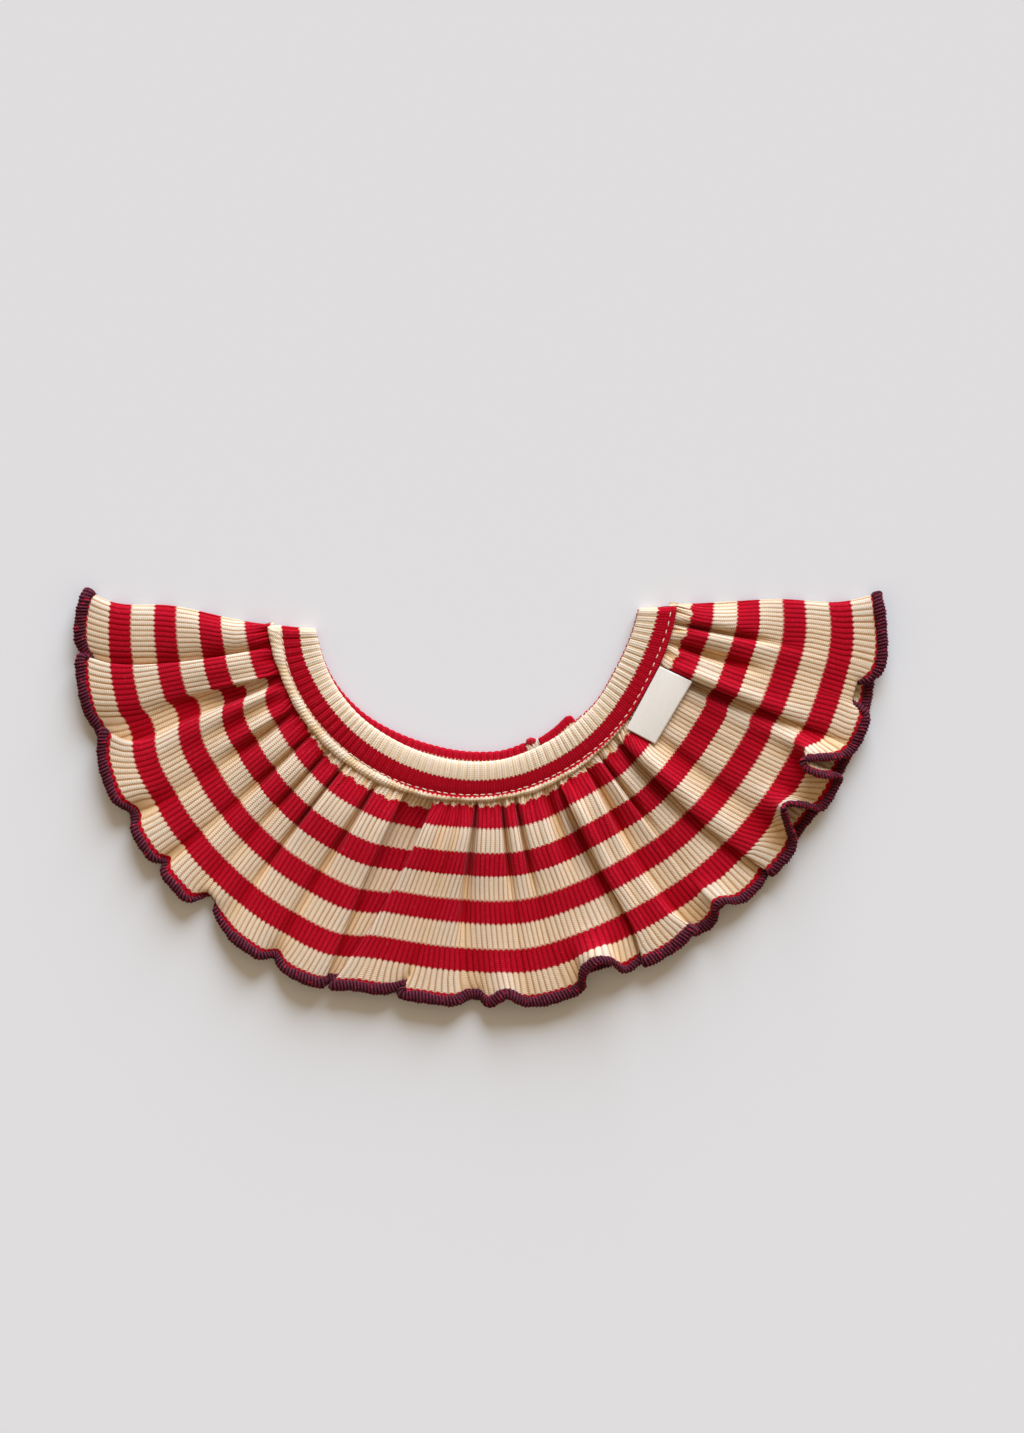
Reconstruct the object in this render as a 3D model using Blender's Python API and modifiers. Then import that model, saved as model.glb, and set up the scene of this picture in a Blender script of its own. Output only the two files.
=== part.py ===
"""A child's ruffle collar in striped rib jersey, folded in half at the shoulders and laid flat.

The collar is a ring: a double neckband with one long gathered strip sewn under it. It opens at
the centre of the back. Folded at the two shoulders, its front half lies on its back half, and
the whole makes a fan around the empty half circle of the neck.

Places are given as on a fan: an angle around the fan's centre (0 degrees at the left, 90 at the
middle of the front, 180 at the right) and a distance from that centre. Lengths are in millimetres
until a piece is made, and heights are over the surface that the collar lies on.
"""
import math

import bpy
import numpy as np

MM = 0.001                     # the tables are in millimetres, Blender's units are metres

# ---------------------------------------------------------------- driving dimensions
FAN_X = -0.37                  # the fan's centre, from the middle of the outline's box, so that
FAN_Y = 82.4                   # this middle is the origin
CLOTH = 1.2                    # rib jersey, one layer
BAND = 2.8                     # the neckband is folded double over its own seam
SEAM_GAP = 0.3                 # clearance between pieces that are sewn together
STRIP_DEPTH = 81.0             # the ruffle strip from the neckband seam to its overlocked edge
TURN_DEPTH = 50.0              # below this the edge of the strip may stand up or turn under
BACK_LEVEL = CLOTH / 2         # the back layer's middle surface, flat on the table
FRONT_FLOOR = 3.0              # the lowest the front layer's middle surface may lie
SEAM_LEVEL = 4.5               # where the front strip leaves the neckband
SEAM_RISE = 1.2                # over a gather's floor it leaves at most this much higher
MIDDLE_RADIUS = 120.0          # the arc on which the folds' middle angles are measured as lengths
BACK_BAND_LEVEL = BAND / 2
FRONT_BAND_LEVEL = BAND + SEAM_GAP + BAND / 2

# Distances from the fan's centre, by angle.
EDGES = (
    # angle  neck   back_neck  seam   hem    back_hem
    (0.0,    67.2,  67.4,      86.0,  160.0, 157.0),
    (15.0,   67.2,  67.4,      86.0,  165.0, 160.0),
    (30.0,   68.0,  67.7,      86.8,  168.4, 162.0),
    (45.0,   68.0,  66.5,      87.2,  170.6, 162.0),
    (60.0,   67.2,  64.6,      86.4,  171.2, 162.0),
    (68.0,   67.0,  64.2,      85.6,  170.6, 160.0),
    (73.0,   67.0,  64.1,      85.0,  166.6, 159.0),
    (82.0,   66.8,  64.0,      84.2,  165.2, 158.0),
    (90.0,   66.4,  64.0,      83.6,  165.8, 158.0),
    (98.0,   66.6,  64.0,      83.2,  167.0, 158.0),
    (107.0,  66.2,  62.9,      82.6,  164.6, 158.0),
    (120.0,  65.2,  63.6,      80.8,  163.4, 158.0),
    (135.0,  64.2,  63.8,      78.6,  163.2, 159.5),
    (150.0,  62.6,  62.2,      77.2,  163.2, 161.6),
    (165.0,  63.0,  62.7,      78.0,  164.0, 162.2),
    (172.0,  63.6,  63.3,      78.6,  164.2, 160.0),
    (180.0,  64.2,  63.9,      79.0,  160.6, 157.0),
)

# The collar's two ends are the shoulder folds: the angle of the band's fold at two distances.
LEFT_BAND_END = (12.6, 8.8)    # at the neck edge and at the seam
RIGHT_BAND_END = (174.2, 176.0)
BACK_OPENING = (111.3, 109.6)  # the slit of the centre back, at the seam and at the hem
BACK_SLIT = 0.35               # degrees on each side of it
TAB_END = 126.7                # the right end of the band is a sewn-on tab as far as this angle
TAB_NECK = 61.2                # and reaches further into the neck than the band
BAND_ROUNDING = 0.9            # the folded edges of the band
ROUNDED_ANGLE = 60.0           # edges sharper than this many degrees are rounded

# The front strip, one row for each place where its gathers and folds change direction.
# seam, mid, hem: the angle there. near, middle, low, edge: height of the cloth at four depths.
# drawn_in: how far the hem falls short of its full reach, where it turns under or stands up.
FRONT_FOLDS = (
    # name           seam   mid    hem    near  middle low   edge  drawn_in
    ("left fold",      9.0,   3.2,  -0.3,  2.2,  2.2,  2.2,  2.6,  3.2),
    ("panel 1 rise",  10.2,   5.4,   2.6,  4.5,  4.8,  5.0,  5.2,  0.4),
    ("panel 1",       13.0,  10.4,   7.2,  4.8,  4.7,  4.8,  4.6,  0.6),
    ("tuck 1",        14.6,  13.0,   9.0,  3.1,  3.1,  3.1,  3.1,  5.6),
    ("lip 1",         15.5,  13.8,   9.8,  5.3,  5.5,  5.6,  5.8,  1.0),
    ("panel 2",       18.0,  16.4,  13.0,  5.6,  6.0,  6.2,  6.0,  0.0),
    ("panel 2 end",   22.0,  19.6,  17.6,  5.3,  5.3,  5.4,  5.0,  0.4),
    ("tuck 2 floor",  22.9,  20.9,  18.7,  3.2,  3.2,  3.4,  3.2,  1.2),
    ("tuck 2",        24.0,  23.0,  19.7,  3.1,  3.1,  3.1,  3.1,  1.6),
    ("lip 2",         24.9,  23.9,  20.5,  5.2,  5.4,  5.8,  6.4,  6.0),
    ("panel 3",       27.0,  27.0,  24.5,  5.6,  5.8,  6.2,  6.4,  0.2),
    ("crest 3",       31.4,  31.6,  29.8,  5.4,  5.6,  6.2,  6.4,  0.0),
    ("valley 3",      32.8,  33.8,  32.3,  3.9,  4.9,  4.4,  3.4,  4.6),
    ("panel 4",       36.5,  36.8,  36.4,  5.5,  5.7,  6.0,  6.2,  0.2),
    ("valley 4",      39.9,  40.8,  40.2,  3.7,  4.7,  4.2,  3.3,  4.0),
    ("panel 5",       43.2,  43.8,  43.8,  5.6,  5.8,  6.2,  6.4,  0.0),
    ("valley 5",      46.4,  47.2,  48.3,  3.3,  4.8,  4.2,  3.2,  8.2),
    ("panel 6",       49.2,  49.6,  50.8,  5.4,  5.2,  4.8,  4.8,  5.0),
    ("valley 6",      52.0,  51.9,  53.4,  3.1,  3.4,  4.6,  5.0,  1.6),
    ("panel 7",       56.0,  55.8,  57.0,  5.7,  5.9,  6.4,  6.6,  0.0),
    ("valley 7",      61.4,  60.3,  60.7,  3.3,  4.2,  4.6,  3.4,  4.2),
    ("panel 8",       65.4,  64.6,  65.0,  5.8,  6.0,  6.4,  6.6,  0.0),
    ("lip 8",         68.9,  68.0,  67.8,  5.4,  5.6,  5.8,  5.6,  0.8),
    ("box floor",     69.9,  68.9,  68.7,  3.1,  3.1,  3.1,  3.1,  2.6),
    ("tuck 9",        76.8,  73.2,  69.5,  3.1,  3.1,  3.1,  3.1,  3.2),
    ("lip 9",         77.7,  74.0,  70.3,  5.6,  5.8,  6.0,  5.6,  0.4),
    ("panel 9",       81.2,  78.0,  74.2,  5.8,  5.8,  6.0,  6.0,  0.2),
    ("valley 9",      85.0,  82.0,  78.9,  5.5,  5.5,  5.0,  3.5,  4.4),
    ("panel 10",      87.2,  84.8,  83.5,  5.8,  5.9,  6.2,  6.2,  0.0),
    ("valley 10",     89.2,  87.4,  88.8,  3.1,  3.6,  4.8,  3.4,  3.6),
    ("panel 11",      91.4,  91.0,  91.6,  5.6,  5.8,  5.6,  5.2,  0.2),
    ("arch 11",       93.8,  93.4,  94.2,  5.5,  5.7,  6.4,  8.4,  4.8),
    ("panel 12",      98.4,  98.2,  98.4,  5.6,  5.7,  6.0,  5.7,  0.0),
    ("arch 12 foot", 103.6, 103.8, 104.6,  5.6,  5.8,  6.2,  6.4,  1.2),
    ("arch 12",      106.6, 106.8, 107.0,  5.0,  5.7,  8.2, 13.0, 10.8),
    ("arch 12 end",  109.6, 110.2, 111.0,  4.6,  4.9,  5.6,  5.4,  1.4),
    ("tuck 13",      112.2, 113.0, 113.6,  3.1,  3.1,  3.1,  3.1,  3.2),
    ("lip 13",       113.1, 113.8, 114.4,  6.0,  6.2,  6.0,  6.0,  0.4),
    ("panel 13",     116.6, 116.6, 118.4,  6.4,  6.4,  6.6,  6.8,  0.4),
    ("lip 14",       120.6, 119.8, 122.8,  5.8,  5.8,  6.6,  7.0,  2.8),
    ("tuck 14",      121.8, 121.6, 121.8,  3.6,  4.4,  3.6,  3.3,  1.4),
    ("panel 15",     124.6, 124.8, 125.2,  5.2,  4.9,  4.4,  3.8,  0.6),
    ("arch 15",      127.0, 127.2, 127.4,  5.0,  5.0,  6.0,  8.6,  6.8),
    ("panel 16",     130.4, 130.6, 131.4,  5.2,  5.0,  5.0,  4.8,  0.6),
    ("tuck 16",      132.6, 132.8, 135.2,  3.1,  3.1,  3.1,  3.1,  5.6),
    ("lip 16",       133.6, 133.6, 136.0,  6.0,  6.0,  5.9,  5.6,  0.2),
    ("panel 17",     137.0, 137.2, 139.2,  6.0,  6.0,  5.9,  5.6,  0.2),
    ("arch 18 foot", 141.0, 141.0, 142.0,  5.2,  5.0,  5.8,  6.6,  3.4),
    ("arch 18",      144.2, 144.2, 144.8,  5.6,  5.6,  8.6, 14.0, 15.8),
    ("arch 18 end",  147.2, 147.4, 147.6,  5.4,  5.4,  5.6,  5.4,  1.4),
    ("panel 19",     150.0, 149.8, 150.2,  5.4,  5.4,  5.4,  5.0,  0.2),
    ("loop 20 foot", 152.2, 152.0, 152.4,  5.2,  5.2,  5.8,  6.8,  2.6),
    ("loop 20 left", 153.8, 153.6, 151.8,  5.4,  5.6,  9.0, 13.6, 15.0),
    ("loop 20",      155.4, 155.2, 154.0,  5.0,  5.2,  8.8, 13.0, 14.0),
    ("valley 20",    157.4, 157.4, 156.8,  3.1,  3.2,  4.6,  5.2,  1.6),
    ("panel 21",     160.4, 160.2, 160.6,  6.0,  5.8,  5.4,  5.6,  0.0),
    ("valley 21",    165.0, 164.6, 164.8,  3.6,  5.2,  4.6,  3.2,  9.2),
    ("panel 22",     168.6, 168.2, 167.6,  5.6,  5.7,  5.4,  5.0,  3.6),
    ("valley 22",    170.9, 170.6, 169.4,  3.4,  4.6,  5.4,  5.4,  0.4),
    ("panel 23",     173.8, 174.2, 174.4,  5.2,  4.9,  5.2,  5.6,  0.6),
    ("right fold",   176.0, 178.4, 180.0,  2.2,  2.2,  2.6,  3.4,  0.8),
)
HEIGHT_DEPTHS = (8.0, 40.0, 68.0, STRIP_DEPTH)   # where near, middle, low and edge are measured

# The back strip lies nearly flat. Its pleats rise from the table as low ridges.
FOLD_INSET = 0.6               # degrees from a shoulder fold to the first column of the back strip
RIDGE_START = 20.0             # the depth at which a ridge has its full height
BACK_RIDGES = (
    # seam   hem    rise  half_width (degrees)
    (21.0,   17.0,  0.8,  2.6),
    (36.0,   35.0,  0.9,  2.4),
    (50.0,   51.0,  0.8,  2.8),
    (64.0,   62.0,  0.9,  2.5),
    (79.0,   77.0,  0.8,  2.4),
    (94.0,   93.0,  0.9,  2.7),
    (121.0, 120.0,  0.9,  2.5),
    (134.0, 135.0,  0.8,  2.4),
    (147.0, 148.5,  0.9,  2.7),
    (162.0, 163.0,  0.8,  2.5),
)

LABEL_LENGTH = 28.0            # along the seam
LABEL_WIDTH = 13.4             # down from the seam
LABEL_THICK = 0.9              # a woven tape folded double
LABEL_ANGLE = 146.9            # the middle of the label
LABEL_TURN = 152.0             # its own square direction is turned a little from the fan's
LABEL_START = 0.8              # its upper edge, from the seam
LABEL_REACH = 6.0              # it lies on the highest cloth this near to it

# Mesh fineness.
FRONT_STEPS = 3                # columns for each row of the fold table
STRIP_LEVELS = (0.0, 5.0, 14.0, 27.0, 40.0, 52.0, 62.0, 71.0, STRIP_DEPTH)
BACK_LEVELS = (0.0, 12.0, 34.0, 58.0, STRIP_DEPTH)
BACK_STEP = 2.2                # degrees
BAND_STEP = 4.0                # degrees
BAND_CELLS = 3
LABEL_CELLS = (6, 3)           # along the seam and down from it

COLORS = {
    "knit": (0.62, 0.03, 0.06, 1.0),
    "band": (0.66, 0.50, 0.38, 1.0),
    "label": (0.80, 0.77, 0.74, 1.0),
}
ROUGHNESS = {"knit": 0.9, "band": 0.9, "label": 0.8}


# ---------------------------------------------------------------- curves through tables
def through(at, values, where):
    """A smooth curve through values at the places at, read at where (both rising)."""
    at = np.asarray(at, float)
    values = np.asarray(values, float)
    where = np.clip(np.asarray(where, float), at[0], at[-1])
    step = np.diff(at)
    slope = np.diff(values, axis=0) / (step if values.ndim == 1 else step[:, None])
    tangent = np.empty_like(values)
    tangent[0] = slope[0]
    tangent[-1] = slope[-1]
    ahead = step[1:] / (step[1:] + step[:-1])
    if values.ndim > 1:
        ahead = ahead[:, None]
    tangent[1:-1] = slope[:-1] * ahead + slope[1:] * (1 - ahead)
    i = np.clip(np.searchsorted(at, where, side="right") - 1, 0, len(at) - 2)
    width = step[i]
    t = (where - at[i]) / width
    if values.ndim > 1:
        width = width[:, None]
        t = t[:, None]
    start = (1 + 2 * t) * (1 - t) ** 2 * values[i] + t * (1 - t) ** 2 * width * tangent[i]
    end = t * t * (3 - 2 * t) * values[i + 1] + t * t * (t - 1) * width * tangent[i + 1]
    return start + end


def edge_radius(name, angle):
    """The distance from the fan's centre to one of the edges of the table EDGES."""
    column = ("angle", "neck", "back_neck", "seam", "hem", "back_hem").index(name)
    table = np.array(EDGES)
    shape = np.shape(angle)
    return through(table[:, 0], table[:, column], np.ravel(angle)).reshape(shape)


def on_fan(angle, radius, height):
    """A point of the fan as x, y, z in millimetres."""
    turn = np.radians(angle)
    return np.stack([FAN_X - radius * np.cos(turn),
                     FAN_Y - radius * np.sin(turn),
                     np.broadcast_to(height, np.shape(radius))], axis=-1)


# ---------------------------------------------------------------- the front strip's surface
def fold_columns():
    """The fold table as one row of numbers for each column of the mesh, from left to right."""
    table = np.array([row[1:] for row in FRONT_FOLDS])
    hem = on_fan(table[:, 2], edge_radius("hem", table[:, 2]) - table[:, 7], table[:, 6])
    middle = on_fan(table[:, 1], np.full(len(table), MIDDLE_RADIUS), table[:, 4])
    length = sum(np.linalg.norm(np.diff(line, axis=0), axis=1) for line in (hem, middle))
    at = np.concatenate([[0.0], np.cumsum(length)])
    where = np.interp(np.arange(0, len(table) - 1 + 0.001, 1 / FRONT_STEPS), np.arange(len(table)), at)
    return through(at, table, where)


def strip_point(column, depth):
    """The front strip's middle surface for columns of the fold table at one depth."""
    seam, mid, hem, near, middle, low, edge, drawn_in = column.T
    across = through((0.0, STRIP_DEPTH / 2, STRIP_DEPTH), np.stack([seam, mid, hem]), [depth])[0]
    levels = np.stack([np.full_like(near, SEAM_LEVEL), near, middle, low, edge])
    levels[0] = np.minimum(levels[0], near + SEAM_RISE)
    height = through((0.0,) + HEIGHT_DEPTHS, levels, [depth])[0]
    start = edge_radius("seam", across) + SEAM_GAP
    reach = edge_radius("hem", across) - start
    turn = max(0.0, (depth - TURN_DEPTH) / (STRIP_DEPTH - TURN_DEPTH)) ** 2
    radius = start + reach * depth / STRIP_DEPTH - drawn_in * turn
    side_fold = height[[0, -1]]
    height = np.maximum(height, FRONT_FLOOR)
    height[[0, -1]] = side_fold
    return on_fan(across, radius, height)


# ---------------------------------------------------------------- making the pieces
def new_material(name):
    """A plain Principled finish in the piece's colour."""
    material = bpy.data.materials.new(name)
    material.use_nodes = True
    shader = material.node_tree.nodes["Principled BSDF"]
    shader.inputs["Base Color"].default_value = COLORS[name]
    shader.inputs["Roughness"].default_value = ROUGHNESS[name]
    shader.inputs["Metallic"].default_value = 0.0
    return material


def sheet(name, points, material, collection, thickness):
    """A wall of cloth: a flat grid moved to points, columns by levels, then given its thickness."""
    columns, levels = points.shape[:2]
    bpy.ops.mesh.primitive_grid_add(x_subdivisions=columns - 1, y_subdivisions=levels - 1, size=2)
    piece = bpy.context.object
    piece.name = name
    piece.data.name = name
    flat = np.empty(len(piece.data.vertices) * 3)
    piece.data.vertices.foreach_get("co", flat)
    flat = flat.reshape(-1, 3)
    across = np.rint((flat[:, 0] + 1) / 2 * (columns - 1)).astype(int)
    down = np.rint((flat[:, 1] + 1) / 2 * (levels - 1)).astype(int)
    piece.data.vertices.foreach_set("co", (points[across, down] * MM).ravel())
    piece.data.update()
    piece.data.materials.append(material)
    for old in piece.users_collection:
        old.objects.unlink(piece)
    collection.objects.link(piece)
    wall = piece.modifiers.new("thickness", "SOLIDIFY")
    wall.thickness = thickness * MM
    wall.offset = 0.0
    piece.data.shade_smooth()
    return piece


def round_edges(piece, width):
    """Soft edges for a thick folded piece."""
    bevel = piece.modifiers.new("soft edges", "BEVEL")
    bevel.width = width * MM
    bevel.segments = 2
    bevel.limit_method = "ANGLE"
    bevel.angle_limit = math.radians(ROUNDED_ANGLE)


def front_strip_points():
    """The front half of the gathered strip, with its tucks, lips and standing arches."""
    columns = fold_columns()
    return np.stack([strip_point(columns, depth) for depth in STRIP_LEVELS], axis=1)


def fold_line(side, depth):
    """The angle of a shoulder fold at a depth, the same for both layers."""
    row = FRONT_FOLDS[0] if side == "left" else FRONT_FOLDS[-1]
    return float(through((0.0, STRIP_DEPTH / 2, STRIP_DEPTH), np.array(row[1:4]), [depth])[0])


def back_height(angle, depth):
    """The back layer's middle surface: flat on the table, with a low ridge at each pleat."""
    share = depth / STRIP_DEPTH
    height = np.full(np.shape(angle), BACK_LEVEL)
    for seam, hem, rise, half_width in BACK_RIDGES:
        middle = seam + (hem - seam) * share
        away = np.clip(np.abs(angle - middle) / half_width, 0.0, 1.0)
        height += rise * min(1.0, depth / RIDGE_START) * (0.5 + 0.5 * np.cos(np.pi * away))
    return height


def make_back_strip(name, start, end, material, collection):
    """One half of the back strip, from start to end, which give the angle at a depth."""
    count = int(round((end(0.0) - start(0.0)) / BACK_STEP))
    levels = []
    for depth in BACK_LEVELS:
        angle = np.linspace(start(depth), end(depth), count)
        first = edge_radius("seam", angle) + SEAM_GAP
        radius = first + (edge_radius("back_hem", angle) - first) * depth / STRIP_DEPTH
        levels.append(on_fan(angle, radius, back_height(angle, depth)))
    return sheet(name, np.stack(levels, axis=1), material, collection, CLOTH)


def opening(depth):
    """The angle of the centre back slit at a depth of the strip."""
    return BACK_OPENING[0] + (BACK_OPENING[1] - BACK_OPENING[0]) * depth / STRIP_DEPTH


def make_band(name, inner_edge, level, start, end, material, collection):
    """A stretch of the neckband. start and end give its angle at the neck edge and at the seam."""
    count = int(round((end[0] - start[0]) / BAND_STEP)) + 1
    rows = []
    for share in np.linspace(0.0, 1.0, BAND_CELLS + 1):
        angle = np.linspace(start[0] + (start[1] - start[0]) * share,
                            end[0] + (end[1] - end[0]) * share, count)
        inner = inner_edge(angle)
        rows.append(on_fan(angle, inner + (edge_radius("seam", angle) - inner) * share, level))
    piece = sheet(name, np.stack(rows, axis=1), material, collection, BAND)
    round_edges(piece, BAND_ROUNDING)
    return piece


def make_label(strip_points, material, collection):
    """The woven label: it hangs from the seam and lies on the highest cloth under it."""
    corner = on_fan(LABEL_ANGLE, edge_radius("seam", LABEL_ANGLE), 0.0)
    turn = math.radians(LABEL_TURN)
    down = np.array([-math.cos(turn), -math.sin(turn)])
    along = np.array([math.sin(turn), -math.cos(turn)])
    cloth = strip_points.reshape(-1, 3)
    rows = []
    for side in np.linspace(-0.5, 0.5, LABEL_CELLS[0] + 1):
        row = []
        for depth in np.linspace(LABEL_START, LABEL_START + LABEL_WIDTH, LABEL_CELLS[1] + 1):
            place = corner[:2] + along * side * LABEL_LENGTH + down * depth
            near = np.linalg.norm(cloth[:, :2] - place, axis=1) < LABEL_REACH
            top = cloth[near, 2].max() + CLOTH / 2 + SEAM_GAP + LABEL_THICK / 2
            row.append([place[0], place[1], top])
        rows.append(row)
    return sheet("label", np.array(rows), material, collection, LABEL_THICK)


def make_collar():
    """All the pieces, in one collection."""
    collection = bpy.data.collections.new("ruffle_collar")
    bpy.context.scene.collection.children.link(collection)
    knit = new_material("knit")
    rib = new_material("band")
    tape = new_material("label")

    front = front_strip_points()
    sheet("ruffle_front", front, knit, collection, CLOTH)
    make_back_strip("ruffle_back_left", lambda depth: fold_line("left", depth) + FOLD_INSET,
                    lambda depth: opening(depth) - BACK_SLIT, knit, collection)
    make_back_strip("ruffle_back_right", lambda depth: opening(depth) + BACK_SLIT,
                    lambda depth: fold_line("right", depth) - FOLD_INSET, knit, collection)

    slit = BACK_OPENING[0]
    make_band("neckband_front", lambda angle: edge_radius("neck", angle), FRONT_BAND_LEVEL,
              LEFT_BAND_END, RIGHT_BAND_END, rib, collection)
    make_band("neckband_back_left", lambda angle: edge_radius("back_neck", angle), BACK_BAND_LEVEL,
              LEFT_BAND_END, (slit - BACK_SLIT, slit - BACK_SLIT), rib, collection)
    make_band("neckband_tab", lambda angle: np.full(np.shape(angle), TAB_NECK), BACK_BAND_LEVEL,
              (slit + BACK_SLIT, slit + BACK_SLIT), (TAB_END, TAB_END), rib, collection)
    make_band("neckband_back_right", lambda angle: edge_radius("back_neck", angle), BACK_BAND_LEVEL,
              (TAB_END + BACK_SLIT, TAB_END + BACK_SLIT), RIGHT_BAND_END, rib, collection)
    make_label(front, tape, collection)


for old in list(bpy.data.objects):
    bpy.data.objects.remove(old)
make_collar()
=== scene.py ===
# %% [markdown]
# # A child's ruffle collar in striped rib jersey
#
# The collar is a ring of three sewn parts: a neckband folded double, one long strip of striped rib
# gathered under it, and an overlocked edge in plum and red thread. It has been folded in half at
# the shoulders and laid flat, so it looks like an open fan. The construction, with the true sizes,
# is loaded first as a fixed frame. Everything after that is cloth and thread laid over it.

import math

import bpy
import numpy as np
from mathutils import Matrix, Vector


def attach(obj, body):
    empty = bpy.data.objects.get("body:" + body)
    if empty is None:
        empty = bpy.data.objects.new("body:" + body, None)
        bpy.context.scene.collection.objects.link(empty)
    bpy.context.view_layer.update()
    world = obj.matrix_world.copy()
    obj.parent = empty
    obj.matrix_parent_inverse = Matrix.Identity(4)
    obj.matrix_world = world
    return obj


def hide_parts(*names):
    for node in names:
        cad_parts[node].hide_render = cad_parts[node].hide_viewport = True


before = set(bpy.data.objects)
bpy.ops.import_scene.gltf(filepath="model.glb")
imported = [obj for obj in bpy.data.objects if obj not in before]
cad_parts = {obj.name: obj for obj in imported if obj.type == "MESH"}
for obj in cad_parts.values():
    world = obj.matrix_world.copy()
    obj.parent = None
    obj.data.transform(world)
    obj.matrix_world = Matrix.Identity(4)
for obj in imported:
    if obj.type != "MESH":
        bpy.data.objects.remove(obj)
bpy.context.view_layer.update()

# %% [markdown]
# ## Measures
#
# Cloth is easiest to think of in millimetres, so the tables below are in millimetres and only the
# finished meshes are in metres. A place on the collar is given as on a fan: an angle around the
# fan's centre, 0 at the left, 90 at the middle of the front and 180 at the right, and a distance
# from that centre. The two shoulder folds are near 0 and 180 degrees.

# %% Measures of the collar
MM = 0.001
FAN_X, FAN_Y = -0.37, 82.4  # the fan's centre
STRIP_DEPTH = 81.0  # the ruffle from the seam to its overlocked edge
RIB = 2.1  # one rib's width, halfway down the strip
LEFT_BAND_END = (12.6, 8.8)  # the shoulder fold of the band: at the neck edge, at the seam
RIGHT_BAND_END = (174.2, 176.0)

# Distances from the fan's centre, by angle.
EDGES = (
    # angle  neck   back_neck  seam   hem    back_hem
    (0.0,    67.2,  67.4,      86.0,  160.0, 157.0),
    (15.0,   67.2,  67.4,      86.0,  165.0, 160.0),
    (30.0,   68.5,  68.2,      86.8,  168.4, 162.0),
    (45.0,   68.9,  67.2,      87.2,  170.6, 162.0),
    (60.0,   68.2,  65.2,      86.4,  171.2, 162.0),
    (68.0,   68.1,  64.4,      85.6,  170.6, 160.0),
    (73.0,   68.1,  64.1,      85.0,  166.6, 159.0),
    (82.0,   68.1,  64.0,      84.2,  165.2, 158.0),
    (90.0,   67.8,  64.0,      83.6,  165.8, 158.0),
    (98.0,   67.5,  64.0,      83.2,  167.0, 158.0),
    (107.0,  66.4,  62.9,      82.6,  164.6, 158.0),
    (120.0,  65.2,  63.6,      80.8,  163.4, 158.0),
    (135.0,  64.2,  63.8,      78.6,  163.2, 159.5),
    (150.0,  62.6,  62.2,      77.2,  163.2, 161.6),
    (165.0,  63.0,  62.7,      78.0,  164.0, 162.2),
    (172.0,  63.6,  63.3,      78.6,  164.2, 160.0),
    (180.0,  64.2,  63.9,      79.0,  160.6, 157.0),
)
EDGE_NAMES = ("angle", "neck", "back_neck", "seam", "hem", "back_hem")


def through(at, values, where):
    """A smooth curve through values at the places at, read at where (both rising)."""
    at = np.asarray(at, float)
    values = np.asarray(values, float)
    flat = values.ndim == 1
    values = values.reshape(len(at), -1)
    where = np.clip(np.ravel(np.asarray(where, float)), at[0], at[-1])
    step = np.diff(at)
    slope = np.diff(values, axis=0) / step[:, None]
    ahead = (step[1:] / (step[1:] + step[:-1]))[:, None]
    tangent = np.concatenate([slope[:1], slope[:-1] * ahead + slope[1:] * (1 - ahead), slope[-1:]])
    i = np.clip(np.searchsorted(at, where, side="right") - 1, 0, len(at) - 2)
    width = step[i][:, None]
    t = (where - at[i])[:, None] / width
    start = (1 + 2 * t) * (1 - t) ** 2 * values[i] + t * (1 - t) ** 2 * width * tangent[i]
    end = t * t * (3 - 2 * t) * values[i + 1] + t * t * (t - 1) * width * tangent[i + 1]
    return (start + end)[:, 0] if flat else start + end


def table_curve(table, names, name, angle):
    """A smooth curve through one column of a table, read at an angle."""
    table = np.array(table)
    return through(table[:, 0], table[:, names.index(name)], angle).reshape(np.shape(angle))


def edge(name, angle):
    """The distance from the fan's centre to one of the edges in the table EDGES."""
    return table_curve(EDGES, EDGE_NAMES, name, angle)


def by_angle(table, angle):
    """Straight lines through a table of angles and values, read at an angle."""
    return np.interp(angle, *np.array(table).T)


def on_fan(angle, radius, height):
    """A place on the fan as x, y, z in millimetres."""
    turn = np.radians(angle)
    return np.stack([FAN_X - radius * np.cos(turn), FAN_Y - radius * np.sin(turn),
                     np.broadcast_to(height, np.shape(radius))], axis=-1)


print("neck edge at the front is", float(edge("neck", 90.0)), "mm from the fan's centre")

# %% [markdown]
# ## Camera, floor and light
#
# The collar is seen from straight above. A camera far away with a long lens flattens the view, as
# a person on a stool would see it. One soft, cool light stands for a tall window beyond the neck,
# low enough for each pleat to throw a soft shadow. The room fills in the rest with warmer light, so
# the shadows are a little golden, while the two together still make white paper look white.

# %% Camera, floor and light
VIEW_MIDDLE = (12.43, 32.6)  # the place under the camera
VIEW_HEIGHT = 573.2  # what the camera takes in from bottom to top, at the floor
CAMERA_HEIGHT = 1500.0
SENSOR = 36.0  # the camera's sensor width, in its own millimetres
SUN_FROM = (0.18, 0.86, 0.295)  # the direction towards the window
SUN_SPREAD = 48.0  # degrees, as wide as the window looks
SUN_STRENGTH = 7.45
SUN_COLOR = (0.76, 0.867, 1.0)
SKY_STRENGTH = 0.475
SKY_COLOR = (1.0, 0.80, 0.55, 1.0)
FLOOR_COLOR = (0.70, 0.694, 0.712, 1.0)
FLOOR_SIZE = 14.0  # metres
FLOOR_DROP = 0.0002  # metres below the collar
FLOOR_ROUGHNESS, FLOOR_GLOSS = 0.95, 0.1
NEAREST_SEEN = 0.05  # metres in front of the camera

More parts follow.
